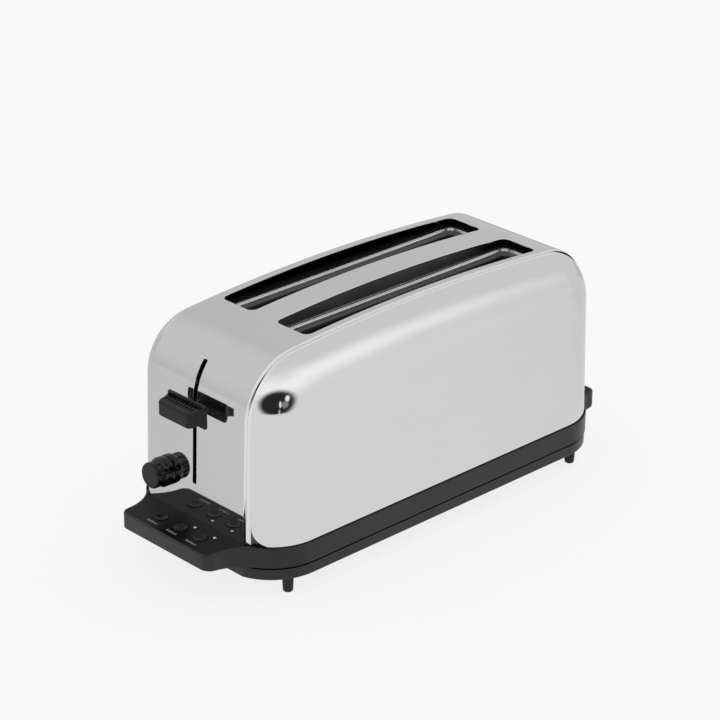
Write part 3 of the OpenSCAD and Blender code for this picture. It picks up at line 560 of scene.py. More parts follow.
# Darker, duller copy of the base plastic for the moulding's top: painted shade.
top_painted_shade = moulded_plastic("top_painted_shade", (0.003, 0.003, 0.0031), (0.005, 0.005, 0.0052),
                              (0.26, 0.34), 0.09, 2600, 0.20)
control_black = moulded_plastic("control_black", (0.008, 0.008, 0.0083), (0.011, 0.011, 0.0113),
                                (0.38, 0.48), 0.30, 3000, 0.25)
knob_black = moulded_plastic("knob_black", grey(0.002), grey(0.003), (0.13, 0.19), 0.46, 3000, 0.06)
# Near-black laid where only shade falls: the seam gaps, the panels' hidden flanges and closing faces, and
# the base's rim under the panels: painted shade.
painted_gap_shade = moulded_plastic("painted_gap_shade", grey(0.003), grey(0.005), (0.70, 0.80), 0.10, 800, 0.2)
# Near-black for the deck plate and the lower part of its lip, which lie in shade under the strip: painted
# shade.
deck_painted_shade = moulded_plastic("deck_painted_shade", grey(0.010), grey(0.016), (0.45, 0.60), 0.30, 1200, 0.3)
inner_brown = moulded_plastic("inner_brown", (0.035, 0.025, 0.02), (0.05, 0.036, 0.028),
                              (0.45, 0.6), 0.45, 1500, 0.3)
foot_black = moulded_plastic("foot_black", grey(0.013), grey(0.019), (0.6, 0.75), 0.40, 1800, 0.5)


def mica_sheet():
    finish = Finish("mica_sheet")
    flakes = finish.cells(260)
    colour = finish.between(finish.noise(30, 4), (0.20, 0.185, 0.165), (0.33, 0.31, 0.28))
    rough = finish.spread(flakes, 0.30, 0.55, 0.0, 0.6)
    return finish.dress(colour, rough, flakes, 0.2, 0.0001)


def board_green():
    finish = Finish("board_green")
    tracks = finish.waves(120, 6)
    colour = finish.between(tracks, (0.02, 0.09, 0.04), (0.05, 0.20, 0.08), 0.45, 0.55)
    rough = finish.spread(tracks, 0.3, 0.45)
    return finish.dress(colour, rough, tracks, 0.2, 0.0001)


def copper_winding():
    finish = Finish("copper_winding").set(Metallic=1.0)
    turns = finish.waves(320)
    colour = finish.between(finish.noise(120), (0.52, 0.22, 0.10), (0.68, 0.33, 0.16))
    rough = finish.spread(turns, 0.25, 0.4)
    return finish.dress(colour, rough, turns, 0.8, 0.0003)


def clear_lens():
    finish = Finish("clear_lens")
    cloud = finish.noise(500)
    colour = finish.between(cloud, (0.74, 0.75, 0.76), (0.84, 0.85, 0.86))
    return finish.set(Base_Color=colour, Roughness=finish.spread(cloud, 0.12, 0.2), Coat_Weight=0.6).material


def one_grain(name, metallic, size, detail, dark, light, rough):
    """Finish whose colour, roughness and bump follow one noise."""
    finish = Finish(name).set(Metallic=metallic)
    grain = finish.noise(size, detail)
    colour = finish.between(grain, dark, light)
    return finish.dress(colour, finish.spread(grain, *rough), grain, 0.1, 0.00005)


lens_white = clear_lens()
print_white = one_grain("printed_white", 0.0, 2500, 2, grey(0.20), grey(0.32), (0.45, 0.6))
ribbon = one_grain("ribbon_metal", 1.0, 160, 3, (0.20, 0.19, 0.19), (0.34, 0.31, 0.28), (0.35, 0.55))

SLOT_FINISH = {
    "brushed_wrap": wrap_steel, "polished_panel": panel_steel, "inner_steel": inner_steel,
    "base_plastic": base_black, "control_plastic": control_black, "inner_plastic": inner_brown,
    "foot_rubber": foot_black, "mica": mica_sheet(), "circuit": board_green(),
    "winding": copper_winding(), "lens": lens_white,
}

# Every solid that stays on show takes the finish of its slot
for name, node in nodes.items():
    slot = node.data.materials[0].name.split(".")[0]
    finish = ribbon if name.startswith("heater_ribbon") else SLOT_FINISH[slot]
    for k in range(len(node.material_slots)):
        node.material_slots[k].material = finish


def stands_for(piece, node, body="housing"):
    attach(piece, body)
    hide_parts(node)


# Steel strip over both ends and the top

def outer_strip():
    shape = Shape()
    r = 0.3
    bead = 1.9
    edge_y = STRIP_HALF - bead
    outline = [(r, -edge_y), (SHELL_LEN - r, -edge_y), (SHELL_LEN - r, edge_y), (r, edge_y)]
    holes = []
    for side in (-1, 1):
        plan = round_box(SLOT_MID, side * SLOT_Y, SLOT_LEN + 2 * r, SLOT_W + 2 * r, SLOT_CORNER + r)
        holes.append([(along_top(x), y) for x, y in plan])
    low, high = up_front(LEVER_SLOT_LOW), up_front(LEVER_SLOT_HIGH)
    length, width = high - low + 2 * r, LEVER_SLOT_W + 2 * r
    holes.append(round_box((low + high) / 2, LEVER_Y, length, width, LEVER_SLOT_CORNER, 4))
    holes.append(ring_points(up_front(BASE_Z + KNOB_UP), KNOB_Y, KNOB_HOLE_R + r))
    holes.append(ring_points(SHELL_LEN - GLAND_UP / math.cos(LEAN), GLAND_Y, GLAND_HOLE_R + r))
    stations = []
    bend_steps, arch_steps = 40, 24
    for start, length in ((FRONT.leg, FRONT.length), (ARCH_END, REAR.length)):
        stations += [start + length * k / bend_steps for k in range(bend_steps + 1)]
    stations += [ARCH_START + ARCH_LEN * k / arch_steps for k in range(1, arch_steps)]
    lines = [((s, -edge_y), (s, edge_y)) for s in stations]

    def place(s, y, depth):
        x, z, nx, nz = shell_at(s)
        return x - nx * depth, y, z - nz * depth

    def facing(s, y):
        _, _, nx, nz = shell_at(s)
        return Vector((nx, 0, nz))

    # The strip's edge bead on the near side and the near bread slot's edges take the painted highlight
    # steel.
    dull, bright = 0, 1

    def near_edge_highlight(s, y):
        return bright if y < 0 else dull

    def near_slot_highlight(s, y):
        return bright if ARCH_START < s < ARCH_END and y < 0 else dull

    sheet(shape, outline, holes, lines, place, facing, SHEET, bead_edge(bead, SHEET), rounded_edge(r, SHEET),
          edge_slot=near_edge_highlight, hole_slot=near_slot_highlight, shrink_u=r / bead)
    return shape.piece("outer_strip", [wrap_steel, painted_highlight_steel])


stands_for(outer_strip(), "outer_wrap")


# Drawn side panels: finishes of their faces, where GAP and SHADE are painted shade and BRIGHT a painted
# highlight, and the gap in each bend by its start, length and depth
STEEL, GAP, SHADE, BRIGHT = range(4)
FRONT_GAP = (4, 47, 1.4)
REAR_GAP = (14, 48, 1.9)


def seam_depth(s):
    """Depth of a panel's edge below the strip's: a fine line at the lever end, closed behind it."""
    fine, tucked, closing_length = 0.06, -0.12, 100
    closing = min(1.0, max(0.0, (s - ARCH_START) / closing_length))
    line = fine + (tucked - fine) * closing
    if s < SHELL_LEN / 2:
        begin, length, deepest = FRONT_GAP
        share = (s - FRONT.leg - begin) / length
    else:
        begin, length, deepest = REAR_GAP
        share = (SHELL_LEN - s - REAR.leg - begin) / length
    if 0 < share < 1:
        return line + deepest * math.sin(math.pi * share) ** 2
    return line


def roll_inset(y):
    return ROLL_INSET - math.sqrt(ROLL_R ** 2 - (y - ROLL_Y) ** 2)


def panel_section(up, dip):
    """Section of a side panel, up mm above the base: (y, inset, slot of the face that follows)."""
    extra = 0.0
    if up < PANEL_CORNER:
        extra = PANEL_CORNER - math.sqrt(PANEL_CORNER ** 2 - (PANEL_CORNER - up) ** 2)
    end = STRIP_HALF + PANEL_FLANGE
    start = end + extra
    deepest, share, tuck = 3.0, 0.9, 3.2
    pocket = min(deepest, share * extra)
    inside = SHADE if extra > 0 else STEEL
    near = STRIP_HALF - 0.4
    # The flange tucked under the strip takes the painted gap shade, the seam's edge a painted highlight
    # line, and the pocket at the lower corner painted shade.
    section = [(STRIP_HALF - tuck, roll_inset(near) + dip, GAP), (near, roll_inset(near) + dip, BRIGHT)]
    for y, slot in ((STRIP_HALF + 0.8, BRIGHT), (STRIP_HALF + 2.0, STEEL), (end - 0.15, inside)):
        fade = (1 - (y - near) / (end - near)) ** 2
        section.append((y, roll_inset(y) + dip * fade, slot))
    section.append((end - 0.10, roll_inset(end) + pocket, inside))
    section.append((start - 0.05, roll_inset(start) + pocket, inside))
    first = math.asin((start - ROLL_Y) / ROLL_R)
    steps = 26
    for k in range(steps + 1):
        a = first + (QUARTER - first) * k / steps
        section.append((ROLL_Y + ROLL_R * math.sin(a), ROLL_INSET - ROLL_R * math.cos(a), STEEL))
    return section


def side_shell(side):
    shape = Shape()
    lift = 0.6
    leg_steps, bend_steps, arch_steps, corner_steps = 30, 40, 30, 14
    lower = [PANEL_CORNER * (1 - math.cos(QUARTER * k / corner_steps)) for k in range(1, corner_steps)]
    stations = []
    for bend in (FRONT, REAR):
        ends = [bend.leg * k / leg_steps for k in range(1, leg_steps + 1)]
        ends += [bend.leg + bend.length * k / bend_steps for k in range(1, bend_steps + 1)]
        ends += [s / math.cos(LEAN) for s in lower + [lift]]
        ends = [s for s in ends if s * math.cos(LEAN) >= lift - 0.001]
        stations += ends if bend is FRONT else [SHELL_LEN - s for s in ends]
    stations += [ARCH_START + ARCH_LEN * k / arch_steps for k in range(1, arch_steps)]
    rows = []
    finishes = []
    for s in sorted(set(stations)):
        x, z, nx, nz = shell_at(s)
        section = panel_section(z - BASE_Z, seam_depth(s))
        row = []
        for y, inset, _ in section:
            point = (x - nx * inset, side * y, z - nz * inset)
            across = min(1.0, (y - ROLL_Y) / ROLL_R)
            out = math.sqrt(1 - across ** 2)
            row.append(shape.add(point, (nx * out, side * across, nz * out)))
        rows.append(row)
        finishes.append([slot for _, _, slot in section])
    for a, b, kinds in zip(rows, rows[1:], finishes):
        for k in range(len(a) - 1):
            corners = (a[k], a[k + 1], b[k + 1], b[k])
            shape.face(corners if side < 0 else tuple(reversed(corners)), kinds[k])
    flat = [shape.add(shape.points[row[-1]], (0, side, 0)) for row in rows]
    shape.face(flat if side > 0 else list(reversed(flat)))
    thicken(shape, SHEET)
    name = "side_shell_near" if side < 0 else "side_shell_far"
    return shape.piece(name, [panel_steel, painted_gap_shade, shade_steel, painted_highlight_steel])


def thicken(shape, thick):
    """Gives a panel's open surface an inner face and closes its free edges."""
    count = len(shape.points)
    for k in range(count):
        shape.add(shape.points[k] - shape.normals[k] * thick, -shape.normals[k])
    place = {}
    for k in range(count):
        place.setdefault(tuple(round(c, 4) for c in shape.points[k]), k)
    same = [place[tuple(round(c, 4) for c in shape.points[k])] for k in range(count)]
    walked = set()
    for f, slot in list(zip(shape.faces, shape.slots)):
        shape.face([i + count for i in reversed(f)], slot)
        for a, b in zip(f, f[1:] + f[:1]):
            walked.add((same[a], same[b]))
    # Free edges are closed with the painted gap shade.
    for a, b in sorted(walked):
        if (b, a) not in walked:
            shape.face((b, a, a + count, b + count), GAP)


stands_for(side_shell(-1), "side_panel_near")
stands_for(side_shell(1), "side_panel_far")


# Inner deck with a rolled lip round each slot; the plate and the lip's lower part take painted shade, the
# lip's upper band painted light

def deck_plate():
    shape = Shape()
    low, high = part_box("slot_deck")
    flat, r, bright, soft = 0.8, 3.0, 5.6, 0.2
    x0, y0 = low.x / MM + soft, low.y / MM + soft
    x1, y1 = high.x / MM - soft, high.y / MM - soft
    out = flat + r
    holes = []
    for side in (-1, 1):
        length, width = SLOT_LEN - 2 * DECK_INSET + 2 * out, SLOT_W - 2 * DECK_INSET + 2 * out
        holes.append(round_box(SLOT_MID, side * SLOT_Y, length, width, SLOT_CORNER - DECK_INSET + out, 10))

    def place(x, y, depth):
        return x, y, DECK_Z - depth

    outline = [(x0, y0), (x1, y0), (x1, y1), (x0, y1)]
    edge = rounded_edge(soft, SHEET, 2)
    sheet(shape, outline, holes, [], place, upward, SHEET, edge, lip_edge(flat, r, bright, DECK_LIP, SHEET))
    return shape.piece("deck_plate", [deck_painted_shade, rim_steel, lip_painted_light])


stands_for(deck_plate(), "slot_deck")


# Black base mouldings

def ledge_side(front, half, sweep, e):
    """Half outline of one ledge at +X and +Y, from its tip to the corner of the base, moved in by e."""
    sweep_y = half + sweep
    sweep_x = BASE_CORNER_X + math.sqrt((BASE_R + sweep) ** 2 - (sweep_y - ROLL_Y) ** 2)
    turn = math.degrees(math.atan2(sweep_y - ROLL_Y, sweep_x - BASE_CORNER_X))
    loop = arc(front - LEDGE_CORNER, half - LEDGE_CORNER, LEDGE_CORNER - e, 0, 90, 8)
    loop += arc(sweep_x, sweep_y, sweep + e, 270, 180 + turn, 16)
    loop += arc(BASE_CORNER_X, ROLL_Y, BASE_R - e, turn, 90, 20)[1:]
    return loop


def moulding_outline(e):
    """Outline of the upper base with both ledges, counter-clockwise, moved in by e."""
    rear = ledge_side(HALF_LEN + REAR_LEDGE, REAR_LEDGE_HALF, REAR_SWEEP, e)
    front = ledge_side(HALF_LEN + FRONT_LEDGE, FRONT_LEDGE_HALF, FRONT_SWEEP, e)
    loop = list(rear)
    loop += [(-x, y) for x, y in reversed(front)]
    loop += [(-x, -y) for x, y in front]
    loop += [(x, -y) for x, y in reversed(rear)]
    return loop


def upper_moulding():
    shape = Shape()
    r = 1.3
    roof = BASE_WALL
    opening = WALL_REAR - WALL_FRONT - 2 * OPENING_EDGE
    holes = [round_box((WALL_FRONT + WALL_REAR) / 2, 0, opening + 0.4, 2 * SLOT_Y + SLOT_W + 0.4, 0.6, 2)]
    for k in (-1, 0, 1):
        holes.append(ring_points(BUTTON_X, BUTTON_Y + k * BUTTON_PITCH, BUTTON_HOLE_R, 40))
    for k in (-1, 0):
        holes.append(ring_points(BUTTON_X + LENS_DX, BUTTON_Y + k * BUTTON_PITCH - LENS_DY, LENS_HOLE_R, 24))

    def under(x):
        """Height of the moulding's lower edge at x."""
        tip = HALF_LEN + (FRONT_LEDGE if x < 0 else REAR_LEDGE)
        share = max(0.0, (abs(x) - BASE_FRONT) / (tip - BASE_FRONT))
        return UPPER_Z + (LEDGE_TIP_Z - UPPER_Z) * min(1.0, share)

    def place(x, y, depth):
        if depth <= roof:
            return x, y, BASE_Z - depth
        share = (depth - roof) / (BASE_Z - UPPER_Z - roof)
        return x, y, BASE_Z - roof - share * (BASE_Z - roof - under(x))

    # The top takes the darker copy of the base plastic as painted shade, and the slot called groove is a
    # painted shadow along the rim under the side panels.
    wall, groove, panel_y = 1, 2, 58

    def rim_painted_shadow(x, y):
        """Painted shadow on the rim under the side panels, and the walls' own finish round the ledges."""
        return groove if abs(y) > panel_y else wall

    deep = BASE_Z - UPPER_Z
    foot = 0.25
    edge = []
    for k in range(1, 7):
        a = QUARTER * k / 6
        edge.append((r * math.sin(a), r * (1 - math.cos(a)), a, rim_painted_shadow if k < 4 else wall))
    edge.append((r, roof, QUARTER))
    for k in range(0, 5):
        a = QUARTER * k / 4
        edge.append((r - foot * (1 - math.cos(a)), deep - foot * (1 - math.sin(a)), QUARTER + a))
    for depth, angle in ((deep, math.pi), (deep, 3 * QUARTER), (roof, 3 * QUARTER), (roof, math.pi)):
        edge.append((r - BASE_WALL, depth, angle))
    sheet(shape, moulding_outline(r), holes, [], place, upward, roof, edge, rounded_edge(0.2, roof, 2),
          edge_slot=lambda u, v: wall)

    # Screw bosses under the roof
    bore, outside, low, high = 1.5, 4, 16.5, 38.7
    boss = [(bore, low, math.pi), (outside, low, math.pi), (outside, low, QUARTER), (outside, high, QUARTER)]
    for x in (-120, 0, 120):
        for y in (-64, 64):
            def stand(px, py, pz, x=x, y=y):
                return Vector((x + px, y + py, pz))

            lathe(shape, boss, 24, stand, slot=wall)
    return shape.piece("upper_moulding", [top_painted_shade, base_black, painted_gap_shade])


stands_for(upper_moulding(), "upper_base")


def lower_edges(middle):
    """Picks the outer edges round the lower moulding's underside."""
    underside, near_wall, near_end = 14, 42.0, 172.6
    reach = math.hypot(max(0.0, abs(middle.x) - BASE_CORNER_X), max(0.0, abs(middle.y) - ROLL_Y))
    return abs(middle.z - underside) < 0.02 and (reach > near_wall or abs(middle.x) > near_end)


def dressed(node, material, body, width, segments, chosen=None):
    piece = softened(node, width, segments, chosen)
    piece.data.materials.append(material)
    stands_for(piece, node, body)
    return piece


lower = dressed("lower_base", base_black, "housing", 1.0, 3, lower_edges)
for vertex in lower.data.vertices:
    if vertex.co.z > (UPPER_Z - 0.05) * MM:
        vertex.co.z -= PARTING_GAP * MM
dressed("feet", foot_black, "housing", 0.6, 3)
dressed("crumb_tray", inner_steel, "tray", 0.2, 2)
dressed("cord_gland", base_black, "housing", 0.5, 3)


# Lift spring between the carriage and its bracket, as a plain copy of its solid

def stretching_spring():
    piece = link("stretching_spring", nodes["lift_spring"].data.copy())
    piece.data.materials.clear()
    piece.data.materials.append(inner_steel)
    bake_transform(piece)
    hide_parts("lift_spring")


stretching_spring()


# Lever handle: back plate, and a thumb block that flares out to it and is grooved on top

def smooth_piece(shape, name, materials, sharp):
    """Piece from closed shells, smooth except at edges sharper than the given angle in degrees."""
    mesh = shape.mesh(name)
    work = bmesh.new()
    work.from_mesh(mesh)
    bmesh.ops.recalc_face_normals(work, faces=work.faces)
    work.to_mesh(mesh)
    work.free()
    shape.coat(mesh, materials)
    mesh.set_sharp_from_angle(angle=math.radians(sharp))
    return link(name, mesh)


def lever_grip():
    shape = Shape()
    back = -(HALF_LEN - LEVER_UP * LEAN_TAN + 8)
    middle_y, middle_z = LEVER_Y - 3, BASE_Z + LEVER_UP
    thick, wide, tall, rise = 2.2, 40.0, 17.4, 0.7

    def ring(x, loop):
        return [shape.add((x, middle_y + u, middle_z + v)) for u, v in loop]

    rows = []
    for d, e in ((0, 0.5), (0.15, 0.15), (0.5, 0), (thick - 0.5, 0), (thick - 0.15, 0.15), (thick, 0.5)):
        rows.append(ring(back - d, round_box(0, rise, wide - 2 * e, tall - 2 * e, 1.2 - e, 4)))
    shape.tube(rows)

    # Thumb block, in slices d mm in front of the plate
    deep, corner = 12.3, 4.2
    low_round, top_round, soft = 1.2, 1.9, 1.5
    groove, pitch, count = 1.2, 3.0, 10
    groove_floor, groove_rise = 5.2, 0.17
    steps = [-0.3, 0, 0.5, 1.0, 1.5, 1.9, 2.2, 2.5, 2.8, 3.0, 3.5, 4.2, 5.0, 5.5, 6.2]
    angles = (0, 10, 20, 30, 40, 50, 60, 66, 72, 78, 84, 90)
    steps += [deep - corner + corner * math.sin(math.radians(a)) for a in angles]

    def rounding(d, r):
        into = d - (deep - r)
        return 0.0 if into <= 0 else r - math.sqrt(max(0.0, r * r - into * into))

    channel, channel_end = 2.5, 1.9
    peak, peak_at, fall = 7.6, 3.0, 1.6

    def crest(d):
        """Height of the top: a channel beside the plate, a peak, and a slow fall to the front."""
        if d < channel_end:
            return channel
        if d < peak_at:
            share = (d - channel_end) / (peak_at - channel_end)
            return channel + (peak - channel) * math.sin(QUARTER * share)
        return peak - fall * (d - peak_at) / (deep - peak_at)

    block_half, flare, flare_end = 17.5, 2.3, 6.0
    block_low, droop, droop_end = -4.8, 2.9, 5.0
    rows = []
    for d in steps:
        reach = max(0.0, d)
        half = block_half + flare * max(0.0, 1 - reach / flare_end) ** 2 - rounding(d, corner)
        low = block_low - droop * max(0.0, 1 - reach / droop_end) ** 2 + rounding(d, low_round)
        top = crest(d) - rounding(d, top_round)
        end_top = crest(max(peak_at, d)) - rounding(d, top_round)
        floor = min(top, groove_floor + groove_rise * reach)
        side = half - soft
        spread = min(1.0, side / (block_half - soft))
        loop = arc(-side, low + soft, soft, 180, 270, 5)
        loop += arc(side, low + soft, soft, 270, 360, 5)
        loop += arc(side, end_top - soft, soft, 0, 90, 5)
        for k in reversed(range(count)):
            at = (k - (count - 1) / 2) * pitch
            for shift, height in ((0.65, top), (0.5, floor), (-0.5, floor), (-0.65, top)):
                loop.append(((at + shift * groove) * spread, height))
        loop += arc(-side, end_top - soft, soft, 90, 180, 5)
        rows.append(ring(back - thick - d, loop))
    shape.tube(rows)
    return smooth_piece(shape, "lever_grip", [control_black], 35)


stands_for(lever_grip(), "lever_handle", "carriage")


# Browning knob

def browning_knob():
    shape = Shape()
    turn = Matrix.Rotation(LEAN - QUARTER, 3, "Y")
    foot = Vector((-(HALF_LEN - KNOB_UP * LEAN_TAN), KNOB_Y, BASE_Z + KNOB_UP))

    def place(x, y, z):
        return foot + turn @ Vector((x, y, z))

    flutes = 12
    deep = 0.72
    flute_low, flute_high = 7.4, 12.8

    def swell(r, z, a):
        if z < flute_low or z > flute_high or r < 6:
            return r
        phase = (a * flutes / (2 * math.pi) + 0.5) % 1.0 - 0.5
        cut = max(0.0, 1 - (abs(phase) / 0.29) ** 2)
        fade = min(1.0, (z - flute_low) / 0.7, (flute_high - z) / 1.6)
        return r - deep * cut * fade

    skirt_r, skirt, grip_r, face, soft = 11.0, 5.4, 9.7, 15.0, 1.5
    low = skirt + 2.6
    steps = 16 * flutes
    profile = [(3.1, 0.3, math.pi), (10.6, 0.3, math.pi), (10.9, 0.45, 2.2), (skirt_r, 0.7, QUARTER),
               (skirt_r, skirt, QUARTER), (10.93, skirt + 0.35, 1.25), (10.7, skirt + 0.75, 1.1),
               (10.2, skirt + 1.6, 1.1), (9.8, skirt + 2.3, 1.25), (grip_r, low, QUARTER)]
    profile += [(grip_r, low + (face - soft - low) * k / 16, QUARTER) for k in range(1, 17)]
    barrel = len(profile) - 1
    profile += [(grip_r - soft * (1 - math.cos(a)), face - soft + soft * math.sin(a), QUARTER - a)
                for a in (0.26, 0.52, 0.79, 1.05, 1.31, QUARTER)]
    profile += [(6.0, face - 0.05, 0.0), (3.0, face - 0.1, 0.0), (0.4, face - 0.1, 0.0)]
    lathe(shape, profile, steps, place, swell)

    # The flat end takes the duller finish
    for k in range((barrel + 3) * steps, len(shape.slots)):
        shape.slots[k] = 1
    return smooth_piece(shape, "fluted_knob", [knob_black, control_black], 38)


stands_for(browning_knob(), "browning_knob", "knob")


# Push buttons with a dished top

def flanged(inner, flange, low, stem):
    """Start of a profile: a flange that holds the piece under the ledge, and the foot of its stem."""
    high = low + 1.0
    return [(inner, low, math.pi), (flange, low, math.pi), (flange, low, QUARTER), (flange, high, QUARTER),
            (flange, high, 0.0), (stem, high, 0.0), (stem, high, QUARTER)]


def push_button(name, y):
    shape = Shape()

    def place(px, py, pz):
        return Vector((BUTTON_X + px, y + py, pz))

    top, rim, dish = BUTTON_TOP, 4.5, 1.2
    profile = flanged(0.3, 6.7, 36.2, 5.2)
    profile += [(5.2, top - 0.35, QUARTER), (5.1, top - 0.12, 1.0), (4.95, top - 0.02, 0.5),
                (4.75, top, 0.0), (rim, top - 0.08, -0.5)]
    for k in range(1, 11):
        r = rim * (1 - k / 10.3)
        profile.append((r, top - 0.08 - dish * (1 - (r / rim) ** 2), -0.5 * r / rim))
    lathe(shape, profile, 48, place)
    return shape.piece(name, [control_black])


for k, node in ((1, "button_far"), (0, "button_middle"), (-1, "button_near")):
    stands_for(push_button("dished_" + node, BUTTON_Y + k * BUTTON_PITCH), node, node)


# Indicator lenses, and plain printed marks beside the buttons

def lens_domes():
    shape = Shape()
    top = BASE_Z + 0.2
    profile = flanged(0.2, 2.2, 36.5, 1.2)
    profile += [(1.2, BASE_Z, QUARTER), (1.1, top - 0.1, 0.9), (0.85, top - 0.03, 0.3), (0.45, top, 0.1),
                (0.05, top, 0.0)]
    for k in (-1, 0):
        def place(px, py, pz, k=k):
            return Vector((BUTTON_X + LENS_DX + px, BUTTON_Y + k * BUTTON_PITCH - LENS_DY + py, pz))

        lathe(shape, profile, 32, place)
    return shape.piece("lens_domes", [lens_white])


stands_for(lens_domes(), "indicator_lenses")


def printed_marks():
    """One row of short plain strokes by each button."""
    shape = Shape()
    strokes = (2.2, 1.5, 1.5, 2.0, 1.5, 1.5, 1.5)
    x, first, pitch, wide = -197.9, 4.2, 1.55, 1.1
    above, sunk = 0.04, 0.02
    for k in (-1, 0, 1):
        for n, tall in enumerate(strokes):
            y = BUTTON_Y + k * BUTTON_PITCH + first - pitch * n
            corners = [(x, y), (x, y - wide), (x + tall, y - wide), (x + tall, y)]
            top = [shape.add((cx, cy, BASE_Z + above), (0, 0, 1)) for cx, cy in corners]
            low = [shape.add((cx, cy, BASE_Z - sunk), (0, 0, -1)) for cx, cy in corners]
            shape.face(top)
            shape.face(list(reversed(low)))
            for a in range(4):
                b = (a + 1) % 4
                shape.face((top[a], low[a], low[b], top[b]))
    return shape.piece("printed_marks", [print_white])


marks = printed_marks()
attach(marks, "housing")


# Camera at the photograph's angle

def photo_camera():
    """Camera fitted to the photograph, with the middle of the base's top at its place in px."""
    azimuth, elevation, roll = math.radians(-43.615), math.radians(24.727), math.radians(0.237)
    distance, scale = 2.0, 1.339
    picture, sensor = 720, 36
    focal = scale * distance / MM
    across, down = 372.511 - picture / 2, 445.006 - picture / 2
    back = Vector((math.sin(azimuth) * math.cos(elevation), -math.cos(azimuth) * math.cos(elevation),
                   math.sin(elevation)))
    right = Vector((math.cos(azimuth), math.sin(azimuth), 0))
    up = back.cross(right)
    side = right * math.cos(roll) + up * math.sin(roll)
    top = up * math.cos(roll) - right * math.sin(roll)
    place = back * distance - side * (across / focal * distance) + top * (down / focal * distance)
    place.z += BASE_Z * MM
    data = bpy.data.cameras.new("photo_camera")
    data.sensor_width = sensor
    data.lens = focal / picture * sensor
    data.clip_start = 0.05
    data.clip_end = 60
    camera = bpy.data.objects.new("photo_camera", data)
    scene.collection.objects.link(camera)
    turn = Matrix((side, top, back)).transposed().to_4x4()
    turn.translation = place
    camera.matrix_world = turn
    scene.camera = camera


photo_camera()


# Pale floor, soft light and a plain world

def plain_floor():
    """White floor that reflections see as a grey slope, with a darker place behind the part."""
    size = 14.0
    corners = [(-size, -size, 0), (size, -size, 0), (size, size, 0), (-size, size, 0)]
    mesh = bpy.data.meshes.new("floor")
    mesh.from_pydata(corners, [], [(0, 1, 2, 3)])
    floor = link("floor", mesh)
    finish = Finish("floor_white").set(Base_Color=(*grey(0.9), 1), Roughness=0.9, Specular_IOR_Level=0.0)
    path = finish.make("LightPath").outputs
    where = finish.make("TexCoord").outputs["Object"]
    axes = finish.make("SeparateXYZ", {0: where}).outputs
    slope = finish.ramp(finish.dot(where, (1, 1, 0)), -0.15, 0.35, 0.79, 0.70)
    behind = finish.ramp(axes["Y"], 0.08, 0.20)
    shade = finish.maths("MULTIPLY", behind, finish.ramp(axes["X"], -0.26, -0.16, 0.0, 0.14))
    mirrored = finish.maths("SUBTRACT", slope, shade)
    tone = finish.mix(path["Is Glossy Ray"], grey(0.975), mirrored)
    glow = finish.make("Emission", {"Color": tone}).outputs["Emission"]
    share = finish.maths("MULTIPLY", path["Is Camera Ray"], 0.85)
    either = finish.maths("MAXIMUM", share, path["Is Glossy Ray"])
    blend = finish.make("MixShader", {"Fac": either, 1: finish.shader.outputs["BSDF"], 2: glow})
    finish.feed(blend.outputs["Shader"], finish.tree.nodes["Material Output"].inputs["Surface"])
    mesh.materials.append(finish.material)


plain_floor()


def soft_lamp(name, place, aim, size, radiance):
    data = bpy.data.lights.new(name, "AREA")
    data.shape = "RECTANGLE"
    data.size, data.size_y = size
    data.energy = radiance * math.pi * size[0] * size[1]
    lamp = bpy.data.objects.new(name, data)
    scene.collection.objects.link(lamp)
    lamp.visible_glossy = False
    lamp.location = place
    lamp.rotation_euler = (Vector(aim) - Vector(place)).to_track_quat("-Z", "Y").to_euler()


soft_lamp("top_box", (-0.35, -0.75, 2.1), (0, 0, 0.1), (1.6, 1.0), 0.55)
soft_lamp("right_box", (1.9, -0.5, 1.5), (0, 0, 0.1), (1.3, 1.3), 0.5)

# Ovals in the room: height and heading, half width and half height in degrees, softness, and level
ROOM_OVALS = (
    (16.4, -38.5, 33.5, 20.6, 0.4, 0.02), (12.6, -23, 6, 5.4, 0.6, 0.25),
    (21.4, -18.5, 4.0, 4.6, 0.6, 0.95), (14.2, -32, 2.2, 4.9, 0.6, 0.85), (1.5, -33.5, 1.4, 5.0, 0.6, 0.55),
)


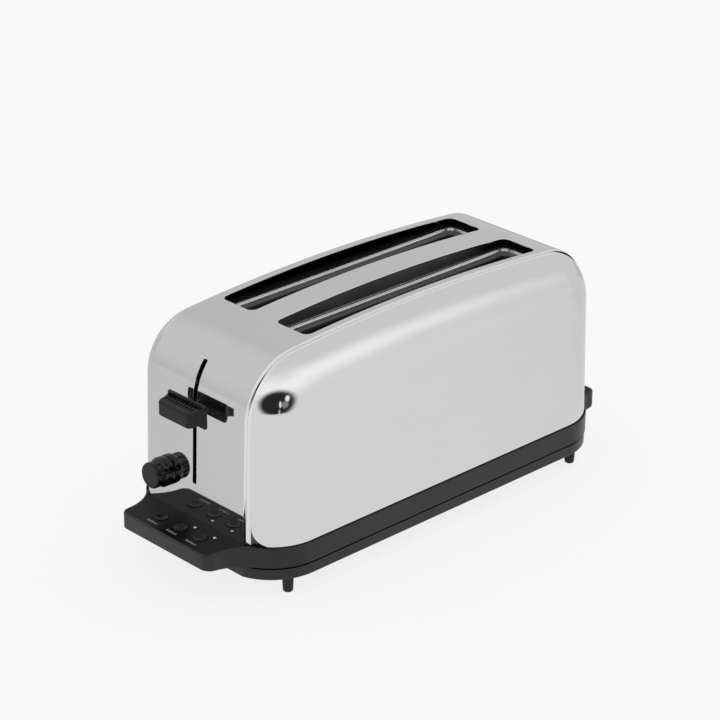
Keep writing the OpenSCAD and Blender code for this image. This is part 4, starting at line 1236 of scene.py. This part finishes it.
def plain_world():
    """Room that only reflections see, one level for all other light, and one for the background."""
    world = bpy.data.worlds.new("studio")
    scene.world = world
    world.use_nodes = True
    sky = NodeTree(world.node_tree)
    background = world.node_tree.nodes["Background"]
    background.inputs["Strength"].default_value = 1.0
    where = sky.make("TexCoord").outputs["Generated"]
    path = sky.make("LightPath").outputs

    def along(direction):
        return sky.dot(where, direction)

    def ease(value, start, end):
        """Smooth change from 0 at start to 1 at end, whichever of them is lower."""
        low, high = min(start, end), max(start, end)
        rising = 1.0 if start < end else 0.0
        return sky.ramp(value, low, high, 1.0 - rising, rising, interpolation_type="SMOOTHSTEP")

    def heading(up, round_to):
        up, round_to = math.radians(up), math.radians(round_to)
        return Vector((math.sin(round_to) * math.cos(up), -math.cos(round_to) * math.cos(up), math.sin(up)))

    def spot(up, round_to, inner, outer):
        inner, outer = math.cos(math.radians(inner)), math.cos(math.radians(outer))
        return ease(along(heading(up, round_to)), outer, inner)

    def oval(up, round_to, wide, tall, soft):
        middle = heading(up, round_to)
        level = Vector((math.cos(math.radians(round_to)), math.sin(math.radians(round_to)), 0))
        upright = middle.cross(level)
        u = sky.maths("DIVIDE", along(level), math.sin(math.radians(wide)))
        v = sky.maths("DIVIDE", along(upright), math.sin(math.radians(tall)))
        reach = sky.maths("ADD", sky.maths("MULTIPLY", u, u), sky.maths("MULTIPLY", v, v))
        return sky.maths("MULTIPLY", ease(reach, 1 + soft, 1 - soft), ease(along(middle), 0.0, 0.1))

    # Bright band above the lever end and the near side, and a dark place with small lights below it
    height = along((0, 0, 1))
    band = sky.maths("MULTIPLY", ease(height, 0.27, 0.63), ease(height, 0.97, 0.68))
    band = sky.maths("MULTIPLY", band, ease(along(heading(0, -15)), 0.10, 0.45))
    room = sky.mix(ease(along(heading(0, -25)), 0.05, 0.5), grey(0.715), grey(0.79))
    room = sky.mix(spot(42, -143, 12, 45), room, grey(0.81))
    room = sky.mix(band, room, grey(1.04))
    for up, round_to, wide, tall, soft, level in ROOM_OVALS:
        room = sky.mix(oval(up, round_to, wide, tall, soft), room, grey(level))
    lit = sky.mix(path["Is Glossy Ray"], grey(0.80), room)
    seen = sky.mix(path["Is Camera Ray"], lit, grey(0.947))
    sky.feed(seen, background.inputs["Color"])


plain_world()
scene.view_settings.view_transform = "Standard"
